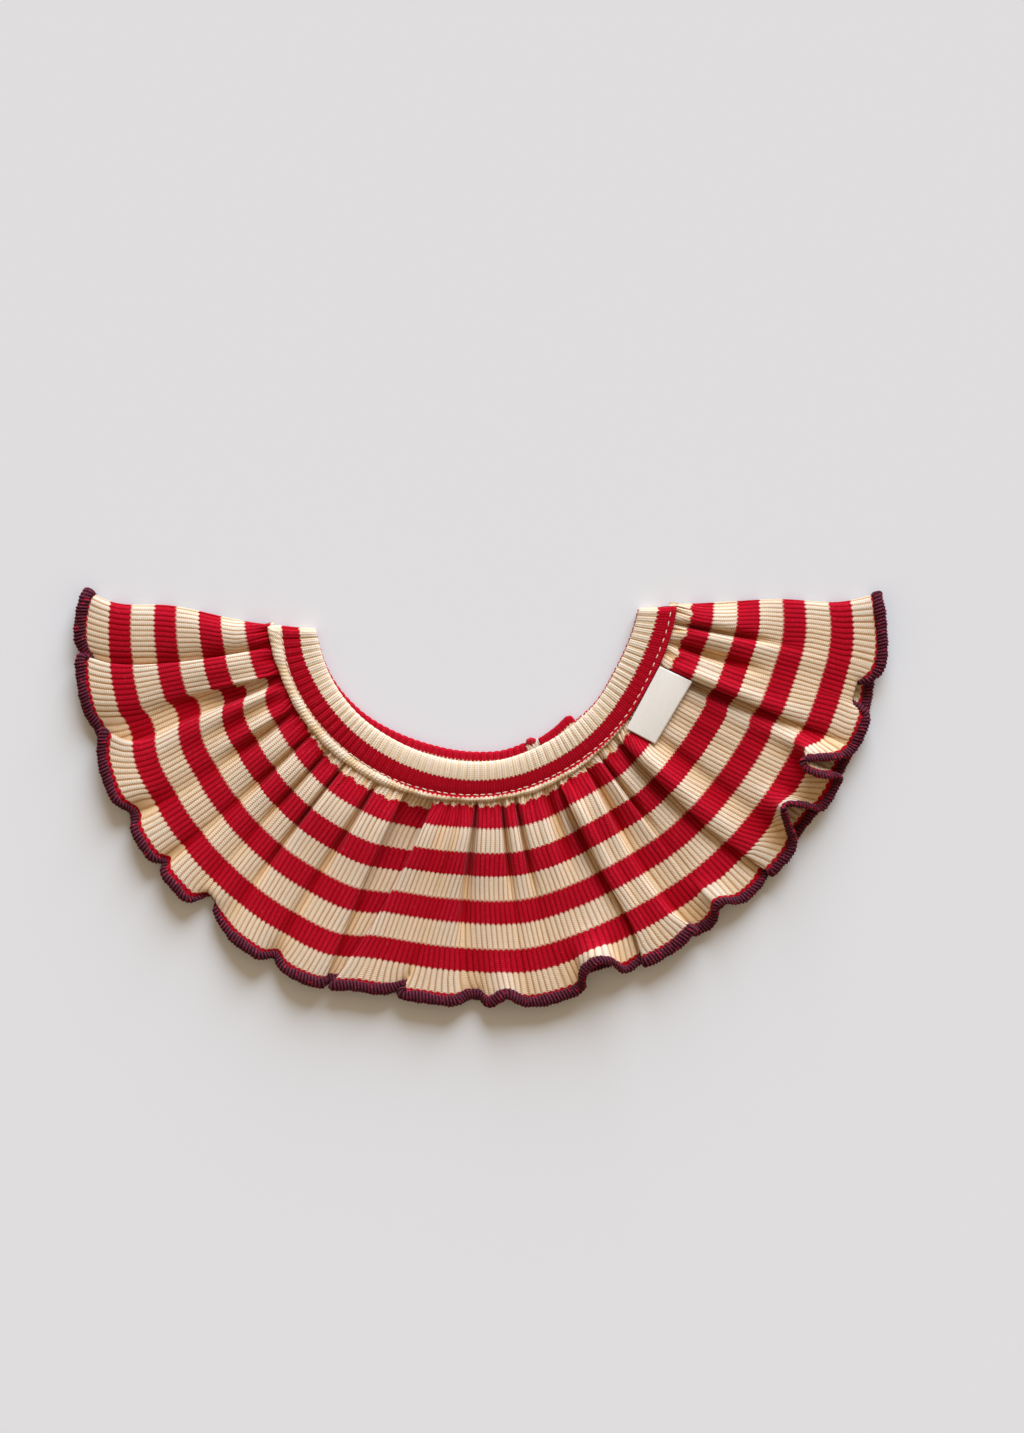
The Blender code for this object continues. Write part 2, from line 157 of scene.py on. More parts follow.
bpy.ops.object.select_all(action="DESELECT")
bpy.ops.object.camera_add(location=(VIEW_MIDDLE[0] * MM, VIEW_MIDDLE[1] * MM, CAMERA_HEIGHT * MM))
camera = bpy.context.object
camera.name = "camera_above"
camera.data.sensor_width = SENSOR
camera.data.lens = SENSOR * CAMERA_HEIGHT / VIEW_HEIGHT
camera.data.clip_start = NEAREST_SEEN
bpy.context.scene.camera = camera

bpy.ops.object.light_add(type="SUN")
sun = bpy.context.object
sun.name = "window_light"
sun.rotation_euler = Vector(SUN_FROM).to_track_quat("Z", "Y").to_euler()
sun.data.angle = math.radians(SUN_SPREAD)
sun.data.energy = SUN_STRENGTH
sun.data.color = SUN_COLOR

world = bpy.data.worlds.new("soft_sky")
world.use_nodes = True
world.node_tree.nodes["Background"].inputs["Color"].default_value = SKY_COLOR
world.node_tree.nodes["Background"].inputs["Strength"].default_value = SKY_STRENGTH
bpy.context.scene.world = world
bpy.context.scene.view_settings.view_transform = "Standard"

bpy.ops.mesh.primitive_plane_add(size=FLOOR_SIZE, location=(0.0, 0.0, -FLOOR_DROP))
floor = bpy.context.object
floor.name = "paper_floor"
floor_finish = bpy.data.materials.new("pale_paper")
floor_finish.use_nodes = True
floor_shader = floor_finish.node_tree.nodes["Principled BSDF"]
floor_shader.inputs["Base Color"].default_value = FLOOR_COLOR
floor_shader.inputs["Roughness"].default_value = FLOOR_ROUGHNESS
floor_shader.inputs["Specular IOR Level"].default_value = FLOOR_GLOSS
floor.data.materials.append(floor_finish)
print("camera lens", round(camera.data.lens, 1), "mm")

# %% [markdown]
# ## The folds of the front
#
# Gathered cloth falls in panels and tucks. On the real collar the sewing machine pushes the strip
# up against the band, and each little tuck at the seam runs out as a fold towards the hem. A fold
# could be simulated, but then it would fall where it liked. Here each fold line is a row of a
# table: its angle at four depths of the strip, how high the cloth stands over the table at five
# depths, and how far the hem is drawn in. Where a row's angle is less than the row before it, the
# cloth doubles back over itself, as at the edge of a pleat.

# %% The fold table of the front
# seam, mid, low, rim: the fold's angle at depths 0, 40, 64 and 81. near to edge: heights at
# depths 8, 40, 60, 72 and 81. first: where the first red stripe starts below the seam. tuck: 1
# where the gathers hide cloth. drawn: how far the hem is drawn in, from the depth turn on. pull:
# the whole fold is pulled towards the neck. A row leaves out what is as usual at its end.
ANGLE_DEPTHS = (0.0, 40.0, 64.0, STRIP_DEPTH)
HEIGHT_DEPTHS = (8.0, 40.0, 60.0, 72.0, STRIP_DEPTH)
FRONT_FOLDS = (
    # seam mid low rim,  near middle lower brim edge,  first tuck drawn turn pull
    (9.7, 3.7, 2.9, 0.8,  0.9, 0.9, 0.9, 0.9, 1.0,  0.3, 0, 3.2),
    (8.8, 2.8, 2.0, -0.1,  1.4, 1.4, 1.4, 1.5, 1.8,  0.3, 0, 3.2),
    (8.6, 2.6, 1.8, -0.3,  2.3, 2.3, 2.3, 2.8, 3.4,  0.3, 0, 3.2),
    (8.9, 3.0, 2.3, 0.2,  3.9, 3.8, 3.9, 4.6, 5.4,  0.3, 0, 2.0),
    (10.2, 5.2, 4.2, 2.6,  4.9, 5.0, 5.1, 5.4, 5.7,  0.3, 0, 0.2),
    (13.0, 10.2, 8.8, 7.0,  5.0, 4.8, 4.8, 4.9, 4.8,  0.3, 0, 0.2),
    (15.4, 13.9, 12.3, 10.4,  3.2, 3.0, 2.9, 2.8, 2.5,  0.3, 1, 6.0),
    (14.9, 13.1, 11.3, 8.8,  5.1, 5.3, 5.5, 5.6, 5.7,  0.3, 0, 1.2),
    (16.8, 15.4, 13.8, 11.4,  5.7, 6.0, 6.2, 6.4, 6.3,  0.4),
    (20.0, 18.4, 17.4, 15.4,  5.5, 5.6, 5.9, 6.0, 5.9,  0.4, 0, 0.0, 66, 0.3),
    (22.3, 19.4, 18.8, 17.4,  5.4, 5.1, 5.0, 4.8, 4.4,  0.0, 0, 0.6, 66, 0.4),
    (21.5, 20.4, 20.4, 18.8,  2.9, 3.6, 3.9, 3.8, 3.4,  -1.8, 1, 1.0, 66, 1.6),
    (23.0, 21.8, 21.9, 20.3,  3.0, 3.4, 3.6, 3.4, 2.9,  -2.4, 0, 1.4, 66, 2.0),
    (24.3, 23.4, 23.4, 21.9,  3.6, 3.8, 3.7, 3.0, 2.6,  -2.0, 0.7, 2.2, 66, 1.8),
    (24.9, 24.3, 23.9, 19.8,  5.6, 5.5, 5.6, 6.2, 6.6,  -1.0, 0, 5.0, 62, 1.3),
    (26.2, 26.0, 25.6, 22.6,  6.0, 6.1, 6.3, 6.5, 6.6,  0.0, 0, 1.2, 64, 0.6),
    (28.0, 28.4, 28.0, 26.4,  5.0, 5.6, 6.2, 6.6, 6.7,  0.8),
    (31.5, 31.5, 30.8, 29.9,  5.7, 5.8, 6.0, 6.4, 6.5,  1.0),
    (32.7, 33.8, 33.4, 32.4,  3.2, 5.1, 4.8, 3.9, 3.0,  1.1, 1, 4.6, 66, 0.2),
    (34.5, 35.5, 35.1, 34.6,  5.2, 5.5, 5.6, 5.6, 5.5,  1.2, 0, 0.6),
    (37.5, 37.8, 37.5, 37.2,  5.6, 5.8, 6.0, 6.2, 6.3,  1.4),
    (39.3, 39.7, 39.4, 39.1,  5.1, 5.5, 5.6, 5.6, 5.6,  1.6, 0, 0.4),
    (40.0, 40.9, 40.8, 40.5,  3.0, 4.7, 4.6, 3.8, 3.0,  1.7, 1, 4.0, 66, 0.2),
    (41.0, 42.3, 42.1, 41.7,  5.3, 5.5, 5.6, 5.6, 5.5,  1.9, 0, 0.4),
    (43.6, 44.0, 44.1, 44.2,  5.7, 5.9, 6.1, 6.3, 6.4,  2.3),
    (45.6, 45.8, 46.2, 46.5,  5.3, 5.5, 5.6, 5.7, 5.4,  2.6, 0, 0.4),
    (46.3, 46.6, 47.2, 47.9,  2.8, 4.8, 5.2, 5.4, 2.4,  2.7, 1, 9.0, 70),
    (47.1, 47.8, 48.4, 49.0,  4.9, 5.1, 5.4, 5.6, 2.3,  2.8, 0, 11.0, 71),
    (48.8, 49.4, 49.8, 50.2,  5.4, 5.4, 5.6, 5.8, 4.4,  3.1, 0, 7.0, 70),
    (51.2, 51.2, 51.7, 52.1,  5.3, 5.1, 4.8, 4.9, 4.7,  3.4, 0, 3.0),
    (52.0, 51.9, 52.6, 53.4,  2.7, 3.4, 4.3, 4.9, 5.1,  3.5, 1, 1.6),
    (52.7, 52.9, 53.8, 54.8,  5.5, 5.4, 5.5, 5.7, 5.8,  3.6, 0, 0.4),
    (56.0, 55.8, 56.4, 57.0,  5.8, 6.0, 6.3, 6.6, 6.7,  3.7),
    (60.5, 59.2, 59.0, 58.9,  5.5, 5.7, 6.0, 6.2, 6.1,  3.8, 0, 0.2),
    (61.5, 60.4, 60.4, 60.7,  3.0, 4.2, 4.6, 4.4, 3.2,  3.9, 1, 4.4),
    (62.5, 61.7, 61.9, 62.4,  5.4, 5.4, 5.5, 5.5, 5.3,  4.0, 0, 0.8),
    (66.0, 65.0, 65.0, 65.2,  5.8, 6.0, 6.3, 6.6, 6.7,  4.1),
    (69.1, 68.2, 68.1, 68.1,  5.6, 5.8, 6.0, 6.1, 5.8,  4.2, 0, 0.6),
    (69.5, 68.5, 68.4, 68.4,  3.1, 3.2, 3.2, 3.2, 3.0,  4.3, 0.5, 2.5),
    (72.5, 71.0, 69.9, 69.5,  3.2, 3.2, 3.2, 3.1, 2.9,  4.4, 0, 3.0),
    (78.4, 74.6, 72.2, 70.9,  2.9, 2.9, 2.8, 2.7, 2.5,  4.4, 1, 3.0),
    (77.5, 73.5, 71.0, 69.0,  5.5, 5.8, 6.0, 6.0, 5.6,  1.7, 0, 0.4),
    (79.5, 76.0, 73.5, 71.7,  6.0, 6.1, 6.2, 6.2, 6.0,  1.6, 0, 0.4),
    (82.2, 79.0, 77.0, 75.3,  5.4, 5.8, 6.0, 6.2, 6.2,  1.5),
    (84.0, 81.0, 79.4, 77.7,  5.8, 5.7, 5.6, 5.4, 4.9,  1.5, 0, 2.4),
    (84.7, 81.7, 80.2, 79.1,  5.3, 5.5, 5.2, 4.5, 3.2,  1.5, 0.6, 5.2),
    (85.3, 82.4, 80.8, 78.6,  5.5, 5.6, 5.6, 5.5, 5.5,  1.5, 0, 0.4),
    (86.6, 84.0, 82.8, 81.5,  5.9, 6.0, 6.1, 6.1, 6.1,  1.4),
    (88.5, 86.0, 85.9, 86.5,  5.6, 5.7, 5.8, 6.0, 5.9,  1.5),
    (89.1, 87.0, 87.2, 88.4,  2.8, 3.7, 4.8, 4.6, 3.4,  1.7, 1, 3.6),
    (89.9, 88.9, 89.4, 90.3,  5.4, 5.1, 5.1, 4.7, 3.4,  1.9, 0, 3.4),
    (92.0, 91.1, 91.2, 91.2,  5.6, 5.8, 5.8, 5.8, 5.4,  2.1),
    (93.6, 93.1, 93.4, 93.9,  5.6, 5.7, 6.0, 7.4, 8.6,  2.3, 0, 5.0, 64),
    (95.2, 95.0, 95.5, 96.0,  5.4, 5.6, 5.8, 6.2, 6.0,  2.4, 0, 1.0),
    (95.9, 96.2, 96.7, 97.2,  3.0, 5.1, 5.7, 5.8, 5.5,  2.5, 1, 0.2),
    (96.6, 97.3, 97.9, 98.6,  5.4, 5.7, 5.9, 5.9, 5.7,  2.6),
    (98.9, 99.5, 100.2, 101.0,  5.4, 5.5, 5.8, 5.9, 5.8,  2.7),
    (99.7, 100.5, 101.3, 102.2,  3.2, 5.3, 5.8, 5.9, 5.7,  2.8, 1),
    (100.6, 101.5, 102.4, 103.3,  5.5, 5.7, 5.9, 6.0, 5.9,  2.8),
    (104.0, 104.0, 104.2, 104.5,  5.6, 5.9, 6.2, 6.6, 6.6,  2.8, 0, 1.4),
    (105.9, 105.5, 105.3, 105.2,  5.6, 5.9, 6.6, 9.4, 10.6,  2.8, 0, 7.6, 63),
    (107.2, 107.2, 107.2, 107.3,  4.6, 5.6, 7.0, 12.0, 13.6,  2.7, 0.6, 10.4, 62),
    (108.6, 108.9, 109.2, 109.6,  3.4, 5.4, 6.6, 9.6, 10.6,  2.6, 0.6, 8.4, 62),
    (110.2, 110.6, 110.9, 111.0,  4.6, 5.0, 5.4, 5.7, 5.4,  2.4, 0, 1.4, 64),
    (111.6, 112.3, 112.8, 112.8,  3.8, 4.0, 4.3, 4.6, 4.4,  2.2, 0, 2.0),
    (113.6, 114.8, 115.5, 115.1,  2.8, 2.8, 2.9, 3.1, 3.2,  2.2, 1, 3.0),
    (112.4, 113.5, 114.4, 113.6,  6.2, 6.4, 6.4, 6.2, 6.0,  1.4, 0, 0.4),
    (114.2, 115.2, 116.0, 116.2,  6.9, 7.1, 7.0, 6.8, 6.7,  1.5),
    (116.2, 116.6, 117.2, 117.8,  6.4, 6.4, 6.6, 6.8, 6.9,  1.6, 0, 0.2),
    (118.2, 117.8, 118.4, 119.4,  6.3, 6.3, 6.7, 7.1, 7.2,  1.7, 0, 0.8),
    (120.5, 119.3, 120.3, 122.8,  6.1, 5.9, 6.6, 7.2, 7.4,  2.0, 0, 3.4, 64),
    (121.2, 120.4, 121.2, 122.0,  3.6, 4.6, 4.8, 4.2, 3.3,  2.2, 1, 1.5),
    (122.9, 122.6, 123.2, 124.4,  4.9, 4.8, 4.7, 4.2, 3.6,  2.6, 0, 0.6),
    (125.3, 125.2, 125.4, 126.0,  5.4, 5.3, 5.3, 6.0, 6.4,  3.2, 0, 3.0, 64),
    (126.0, 126.3, 126.5, 126.9,  3.6, 4.9, 5.4, 7.8, 8.8,  3.4, 1, 6.8, 62),
    (127.0, 127.5, 127.7, 128.2,  5.4, 5.3, 5.6, 7.6, 8.6,  3.6, 0, 6.4, 62),
    (129.5, 129.8, 130.0, 130.4,  5.3, 5.1, 5.2, 5.3, 5.2,  3.8, 0, 1.0),
    (131.2, 131.5, 132.2, 133.3,  4.6, 4.5, 4.5, 4.4, 4.2,  3.8, 0, 0.4),
    (132.6, 133.0, 134.0, 135.1,  3.6, 3.5, 3.4, 3.3, 3.1,  3.8, 0, 2.0),
    (134.3, 134.9, 136.3, 137.3,  2.8, 2.8, 2.8, 2.8, 2.6,  3.8, 1, 6.0, 68),
    (133.1, 133.6, 134.8, 136.0,  6.4, 6.6, 6.3, 5.9, 5.5,  3.6, 0, 0.2),
    (135.0, 135.5, 136.7, 137.9,  7.0, 7.3, 6.9, 6.4, 6.0,  3.6),
    (136.7, 137.0, 138.0, 139.1,  6.4, 6.5, 6.3, 6.0, 5.8,  3.6),
    (138.3, 138.4, 139.3, 140.4,  5.8, 5.6, 5.6, 5.6, 5.5,  3.6, 0, 0.4),
    (140.4, 140.6, 141.2, 141.8,  5.2, 4.9, 5.4, 6.2, 6.4,  3.6, 0.6, 3.2, 64),
    (142.6, 142.4, 142.6, 142.9,  5.6, 5.6, 6.6, 9.8, 11.0,  3.7, 0, 9.8, 62),
    (144.4, 144.3, 144.4, 144.8,  5.6, 5.8, 7.6, 14.0, 15.6,  3.8, 0, 15.6, 61),
    (146.0, 146.0, 146.2, 146.5,  5.4, 5.6, 6.6, 10.0, 11.2,  3.9, 0, 9.6, 62),
    (147.4, 147.6, 147.6, 147.6,  5.4, 5.4, 5.6, 5.8, 5.5,  4.0, 0, 1.4),
    (149.5, 149.4, 149.5, 149.7,  5.5, 5.5, 5.5, 5.4, 5.0,  4.1),
    (151.4, 151.2, 151.4, 152.2,  5.3, 5.3, 5.3, 5.2, 4.9,  4.2, 0, 0.4),
    (152.5, 152.3, 152.4, 152.9,  5.3, 5.4, 5.6, 6.8, 7.2,  4.2, 0, 1.4, 64),
    (153.2, 153.1, 153.0, 151.7,  5.4, 5.6, 6.8, 10.4, 12.0,  4.3, 0, 9.0, 61),
    (154.0, 154.0, 153.6, 151.4,  5.4, 5.6, 8.0, 13.0, 15.0,  4.3, 0, 16.6, 59, 0.5),
    (154.8, 154.8, 154.4, 152.6,  5.2, 5.4, 8.0, 13.4, 15.0,  4.3, 0, 17.6, 58, 1.0),
    (155.6, 155.6, 155.3, 153.9,  4.6, 4.6, 7.0, 11.0, 12.0,  4.4, 0, 12.0, 58, 1.0),
    (156.5, 156.6, 156.3, 155.4,  3.6, 3.6, 5.2, 7.4, 8.0,  4.4, 0, 4.6, 60, 0.4),
    (157.8, 157.9, 157.5, 157.0,  2.7, 2.8, 3.9, 5.0, 5.4,  4.4, 1, 1.2),
    (157.4, 157.5, 157.8, 158.5,  6.2, 6.3, 5.5, 5.4, 5.4,  4.5, 0, 0.2),
    (159.0, 158.9, 159.2, 159.8,  6.8, 6.9, 6.2, 5.8, 5.7,  4.6),
    (160.9, 160.6, 160.8, 161.1,  6.2, 6.1, 5.9, 5.7, 5.7,  4.6),
    (163.0, 162.4, 162.4, 162.5,  5.7, 5.7, 5.6, 5.4, 5.0,  4.7, 0, 0.8, 68),
    (164.9, 164.3, 164.0, 163.8,  3.4, 5.4, 5.2, 4.6, 2.3,  4.8, 1, 11.0, 71),
    (166.6, 166.0, 165.9, 166.0,  5.4, 5.5, 5.1, 4.6, 2.3,  5.0, 0, 12.0, 71),
    (169.6, 168.8, 168.0, 167.3,  5.7, 5.8, 5.4, 5.2, 4.8,  5.6, 0, 4.6),
    (170.7, 170.1, 169.4, 168.6,  3.0, 5.1, 5.4, 5.4, 5.3,  5.9, 1, 1.0),
    (171.7, 171.3, 170.8, 170.2,  5.4, 5.2, 5.3, 5.5, 5.5,  6.0),
    (174.3, 174.6, 174.4, 174.4,  5.2, 5.1, 5.2, 5.5, 5.7,  6.2, 0, 0.6),
    (176.0, 177.9, 177.7, 178.6,  3.9, 4.0, 4.2, 4.9, 5.6,  6.3, 0, 0.6),
    (176.5, 178.6, 178.4, 179.9,  2.3, 2.4, 2.5, 3.2, 4.0,  6.3, 0, 0.6),
    (176.3, 178.4, 178.2, 179.7,  1.4, 1.4, 1.5, 1.7, 2.0,  6.3, 0, 0.8),
    (175.4, 177.5, 177.3, 178.8,  0.9, 0.9, 0.9, 0.9, 1.0,  6.3, 0, 1.0),
)
USUAL = (0, 0.0, 66.0, 0.0)  # tuck, drawn, turn and pull, where a row leaves them out
TUCK_COLUMN = 10


def whole_row(row):
    """A row of the fold table with the usual values filled in."""
    return row + USUAL[len(row) - TUCK_COLUMN:]


front_rows = [whole_row(row) for row in FRONT_FOLDS]
print(len(front_rows), "fold lines")

# %% [markdown]
# ## From fold lines to cloth
#
# At each depth the fold lines give one wavy line across the strip, and a smooth curve runs through
# them. The ribs are then counted out along that line, because a knitted rib never stops: it runs
# from the seam to the hem. Near the seam there isn't room for all of them side by side, so the
# rest vanish into the tucks, which is just what gathers do. Each rib is a real ridge in the mesh,
# six points across, because the ribs catch the light and give the cloth its look.

# %% Lay the strip out rib by rib
COLUMNS_A_RIB = 6
RIB_HEIGHT = 0.23
ROWS_BETWEEN = 20  # fine steps between two fold lines, for measuring
# The depths of the mesh's rows: close together by the seam and by the hem.
LEVELS = np.concatenate([(-3.0, -1.2, 0.0, 1.2, 2.6, 4.2, 6.0, 8.0), np.arange(10.2, 63.0, 2.2),
                         np.arange(63.6, 80.5, 1.2)])
# How far apart the ribs stand at a few depths, before the gathering brings them closer.
PITCH_DEPTHS = (0.0, 12.0, 30.0, 62.0, STRIP_DEPTH)
PITCHES = (1.75, 1.90, 2.05, 2.15, 2.50)
CLOSER = 0.10  # where cloth is gathered, the ribs stand this much closer
TUCK_SHARE = 0.5  # the part of the cloth in a tuck that isn't counted
EDGE_SHARE = 0.3  # how far the frilled edge decides the number of ribs
BODY_DEPTHS = (15.0, 63.0)  # and the rest is decided between these depths
TIGHTEST_RIB = 0.75  # ribs pushed together inside a tuck
BARELY = 1e-4  # a stretch with no tuck still counts for this much of one
SPACING_DEPTHS = (10.0, 40.0, STRIP_DEPTH)  # where the fold lines' distances are measured
SEAM_LEVEL = 4.6  # the strip comes out from under the band at this height
SEAM_CLIMB = 1.1  # but rises no more than this from its first row to the seam
UNDER_LIP, LIP_REACH = 0.9, 2.0  # lower by this much under the band's edge, in full this far in
ON_TABLE = 2.5  # rows lower than this belong to the layer on the table
PULL_DEPTH = 12.0  # a pulled fold is pulled in full from here on
DRAWN_CURVE = 1.5  # a drawn hem comes in slowly at first
GATHER_RELIEF = 1.7  # the gathers stand out this much more near the seam
MIDDLE_LEVEL, MIDDLE_RELIEF = 5.2, 0.4  # halfway down: the usual height, and how much more relief
LOWEST_TUCK = 2.3  # clear of the back layer
# The painted shade in the folds: how far around a fold is measured, how deep counts as full shade,
# and how much shade flat cloth gets; then the painted shade of the seam's pinch.
FOLD_REACH = 4  # ribs to each side that a fold is measured against
FOLD_FULL = 2.0  # this far below its surroundings is deep in a fold
FLAT_FOLD = 0.35  # how deep flat cloth counts as
PINCH_FROM, PINCH_REACH = 2.0, 6.0  # the seam's pinch is full to the first depth, then fades out
# The small gathers by the seam: ribs in each, rise, reach, and how unevenly they follow each other.
BUNCH, BUNCH_HEIGHT, BUNCH_FADE = 2.7, 1.1, 5.0
BUNCH_DRIFT, BUNCH_DRIFT_RATE = 0.3, 0.83
BUNCH_ROUND, BUNCH_MEAN = 0.6, 0.7  # under 1 makes them broad with narrow creases; their mean
RIDGE_ROUND, RIDGE_MEAN = 0.38, 0.70  # the same for the ribs
RIB_UNEVEN = ((0.16, 2.4), (0.10, 5.3))  # how the ribs differ in height: sizes and rates of waves
RIB_ROOM = (0.1, 1.15)  # a squeezed or stretched rib is lower or higher, within this


def fold_lines(depth, table, hem_name, places, fine):
    """One line across the strip, at one depth: points, stripe depth and how much is tucked away."""
    seam_to_rim = table[:, 0:4]
    heights = table[:, 4:9].copy()
    first, tuck, drawn, turn, pull = table[:, 9:14].T
    angle = through(ANGLE_DEPTHS, seam_to_rim.T, [depth])[0]
    gathered = heights[:, 0] > ON_TABLE
    near = SEAM_LEVEL + (heights[:, 0] - SEAM_LEVEL) * GATHER_RELIEF
    heights[:, 0] = np.where(gathered, np.maximum(near, LOWEST_TUCK), heights[:, 0])
    middle = heights[:, 1] + (heights[:, 1] - MIDDLE_LEVEL) * MIDDLE_RELIEF
    heights[:, 1] = np.where(heights[:, 1] > ON_TABLE, np.maximum(middle, LOWEST_TUCK),
                             heights[:, 1])
    at_seam = np.where(gathered, np.minimum(SEAM_LEVEL, heights[:, 0] + SEAM_CLIMB),
                       heights[:, 0])
    levels = np.vstack([at_seam, heights.T])
    height = through((0.0,) + HEIGHT_DEPTHS, levels, [depth])[0]
    if depth < 0:
        height = height - UNDER_LIP * min(1.0, -depth / LIP_REACH) * gathered
    late = np.clip((depth - turn) / (STRIP_DEPTH - turn), 0.0, None) ** DRAWN_CURVE
    short = pull * np.clip(depth / PULL_DEPTH, 0.0, 1.0) + drawn * late
    rows = np.column_stack([angle, height, short, first, tuck])
    smooth = through(places, rows, fine)
    start = edge("seam", smooth[:, 0])
    reach = edge(hem_name, smooth[:, 0]) - start
    radius = start + reach * depth / STRIP_DEPTH - smooth[:, 2]
    stripe = smooth[:, 3]
    down = -stripe + depth * (STRIP_DEPTH + stripe) / STRIP_DEPTH
    return on_fan(smooth[:, 0], radius, smooth[:, 1]), down, np.clip(smooth[:, 4], 0.0, 1.0)


def steps_along(points):
    """The distance from each point of a line to the next."""
    return np.linalg.norm(np.diff(points, axis=0), axis=1)


def even_spacing(table, hem_name):
    """Places for the fold lines, wider where more cloth lies between two: curves run evenly."""
    rows = np.arange(len(table)) * 1.0
    lines = [fold_lines(depth, table, hem_name, rows, rows)[0] for depth in SPACING_DEPTHS]
    length = sum(steps_along(line) for line in lines)
    return np.concatenate([[0.0], np.cumsum(np.sqrt(length))])


def strip_surface(table, hem_name):
    """Points, rib numbers and stripe depths of the whole strip, six columns to a rib."""
    places = even_spacing(table, hem_name)
    rows = np.linspace(0, len(table) - 1, (len(table) - 1) * ROWS_BETWEEN + 1)
    fine = np.interp(rows, np.arange(len(table)), places)
    pitch = through(PITCH_DEPTHS, PITCHES, LEVELS)
    lines = [fold_lines(depth, table, hem_name, places, fine) for depth in LEVELS]
    steps, tucks = [], []
    for points, _, tuck in lines:
        steps.append(steps_along(points))
        tucks.append((tuck[1:] + tuck[:-1]) / 2)
    steps, tucks = np.array(steps), np.array(tucks)
    whole_tucks = np.flatnonzero(table[:, TUCK_COLUMN] == 1)  # ribs are counted between these
    bounds = [0] + [row * ROWS_BETWEEN for row in whole_tucks] + [len(fine) - 1]
    counted = np.zeros((len(LEVELS), len(fine)))
    body = (LEVELS > BODY_DEPTHS[0]) & (LEVELS < BODY_DEPTHS[1])
    for low, high in zip(bounds[:-1], bounds[1:]):
        length = steps[:, low:high]
        tucked = tucks[:, low:high]
        shown = length * (1 - TUCK_SHARE * tucked) / pitch[:, None]
        total = shown.sum(axis=1)
        ribs = total[body].max() * (1 - EDGE_SHARE) + total.max() * EDGE_SHARE
        spare = ribs - total
        in_tucks = np.clip(spare, 0, (length * TUCK_SHARE * tucked / pitch[:, None]).sum(axis=1))
        evenly = np.minimum(spare - in_tucks, CLOSER * total)
        hidden = length * tucked ** 3 + BARELY * length
        room = hidden.sum(axis=1)
        squeezed = np.clip(spare - in_tucks - evenly, 0, room / TIGHTEST_RIB)
        evenly = spare - in_tucks - squeezed
        filling = length * tucked + BARELY * length
        density = (shown * (1 + evenly / total)[:, None]
                   + filling * (in_tucks / filling.sum(axis=1))[:, None]
                   + hidden * (squeezed / room)[:, None])
        counted[:, low + 1:high + 1] = counted[:, low:low + 1] + np.cumsum(density, axis=1)
    total = int(counted[0, -1])
    numbers = np.arange(0, total * COLUMNS_A_RIB + 1) / COLUMNS_A_RIB
    points = np.empty((len(numbers), len(LEVELS), 3))
    down = np.empty(points.shape[:2])
    for k, (line, stripe, _) in enumerate(lines):
        share = counted[k] * total / counted[k, -1]
        for axis in range(3):
            points[:, k, axis] = np.interp(numbers, share, line[:, axis])
        down[:, k] = np.interp(numbers, share, stripe)
    return points, numbers, down


def bunches(numbers):
    """The small gathers the seam pushes up, a few ribs wide: 1 on a crest and 0 between two."""
    drift = BUNCH_DRIFT * np.sin(numbers * BUNCH_DRIFT_RATE)
    return np.abs(np.sin(np.pi * (numbers / BUNCH + drift))) ** BUNCH_ROUND


def bunch_up(points, numbers):
    """Lift the small gathers next to the seam. They fade out down the strip."""
    fade = np.exp(-np.maximum(LEVELS, 0.0) / BUNCH_FADE)[None, :]
    points[:, :, 2] += BUNCH_HEIGHT * (bunches(numbers)[:, None] - BUNCH_MEAN) * fade


def waves(start, where, sizes):
    """A start value with a few waves on it, each with a size and a rate."""
    return sum((size * np.sin(where * rate) for size, rate in sizes), start)


def facing(points):
    """The direction that a sheet of points faces, at each point."""
    normal = np.cross(np.gradient(points, axis=1), np.gradient(points, axis=0))
    return normal / np.maximum(np.linalg.norm(normal, axis=2), 1e-9)[:, :, None]


def raise_ribs(points, numbers, height):
    """Move the surface the way it faces: a round ridge for each rib and a narrow groove."""
    room = np.linalg.norm(np.gradient(points, axis=0), axis=2) * COLUMNS_A_RIB / RIB
    ridge = np.abs(np.sin(np.pi * numbers))[:, None] ** RIDGE_ROUND - RIDGE_MEAN
    uneven = waves(1.0, np.floor(numbers)[:, None], RIB_UNEVEN)
    rise = height * uneven * ridge * np.clip(room, *RIB_ROOM)
    return points + facing(points) * rise[:, :, None]


def soften(values, width):
    """A running mean over width rows, which takes the sharpest corners off."""
    padded = np.concatenate([values[:1]] * width + [values] + [values[-1:]] * width)
    kernel = np.ones(2 * width + 1) / (2 * width + 1)
    return np.column_stack([np.convolve(column, kernel, "valid") for column in padded.T])


def fold_shade_depth(middle, numbers):
    """Painted shade by how low points lie: 0 on a crest, 1 deep in a fold, up to 2 by the seam."""
    height = middle[:, :, 2]
    around = soften(height, FOLD_REACH * COLUMNS_A_RIB)
    deep = np.clip((around - height) / FOLD_FULL + FLAT_FOLD, 0.0, 1.0)
    deep = np.where(height < LOWEST_TUCK, FLAT_FOLD, deep)  # on the table, so out of sight
    by_seam = 1.0 - np.clip(LEVELS - PINCH_FROM, 0.0, PINCH_REACH)[None, :] / PINCH_REACH
    return np.maximum(deep, by_seam * (2.0 - 2.0 * bunches(numbers)[:, None]))


front_table = np.array(front_rows)
front_middle, front_numbers, front_down = strip_surface(front_table, "hem")
bunch_up(front_middle, front_numbers)
front_points = raise_ribs(front_middle, front_numbers, RIB_HEIGHT)
front_fold_shade = fold_shade_depth(front_middle, front_numbers)
print("front strip:", int(front_numbers[-1]), "ribs,", front_points.shape[:2], "points")

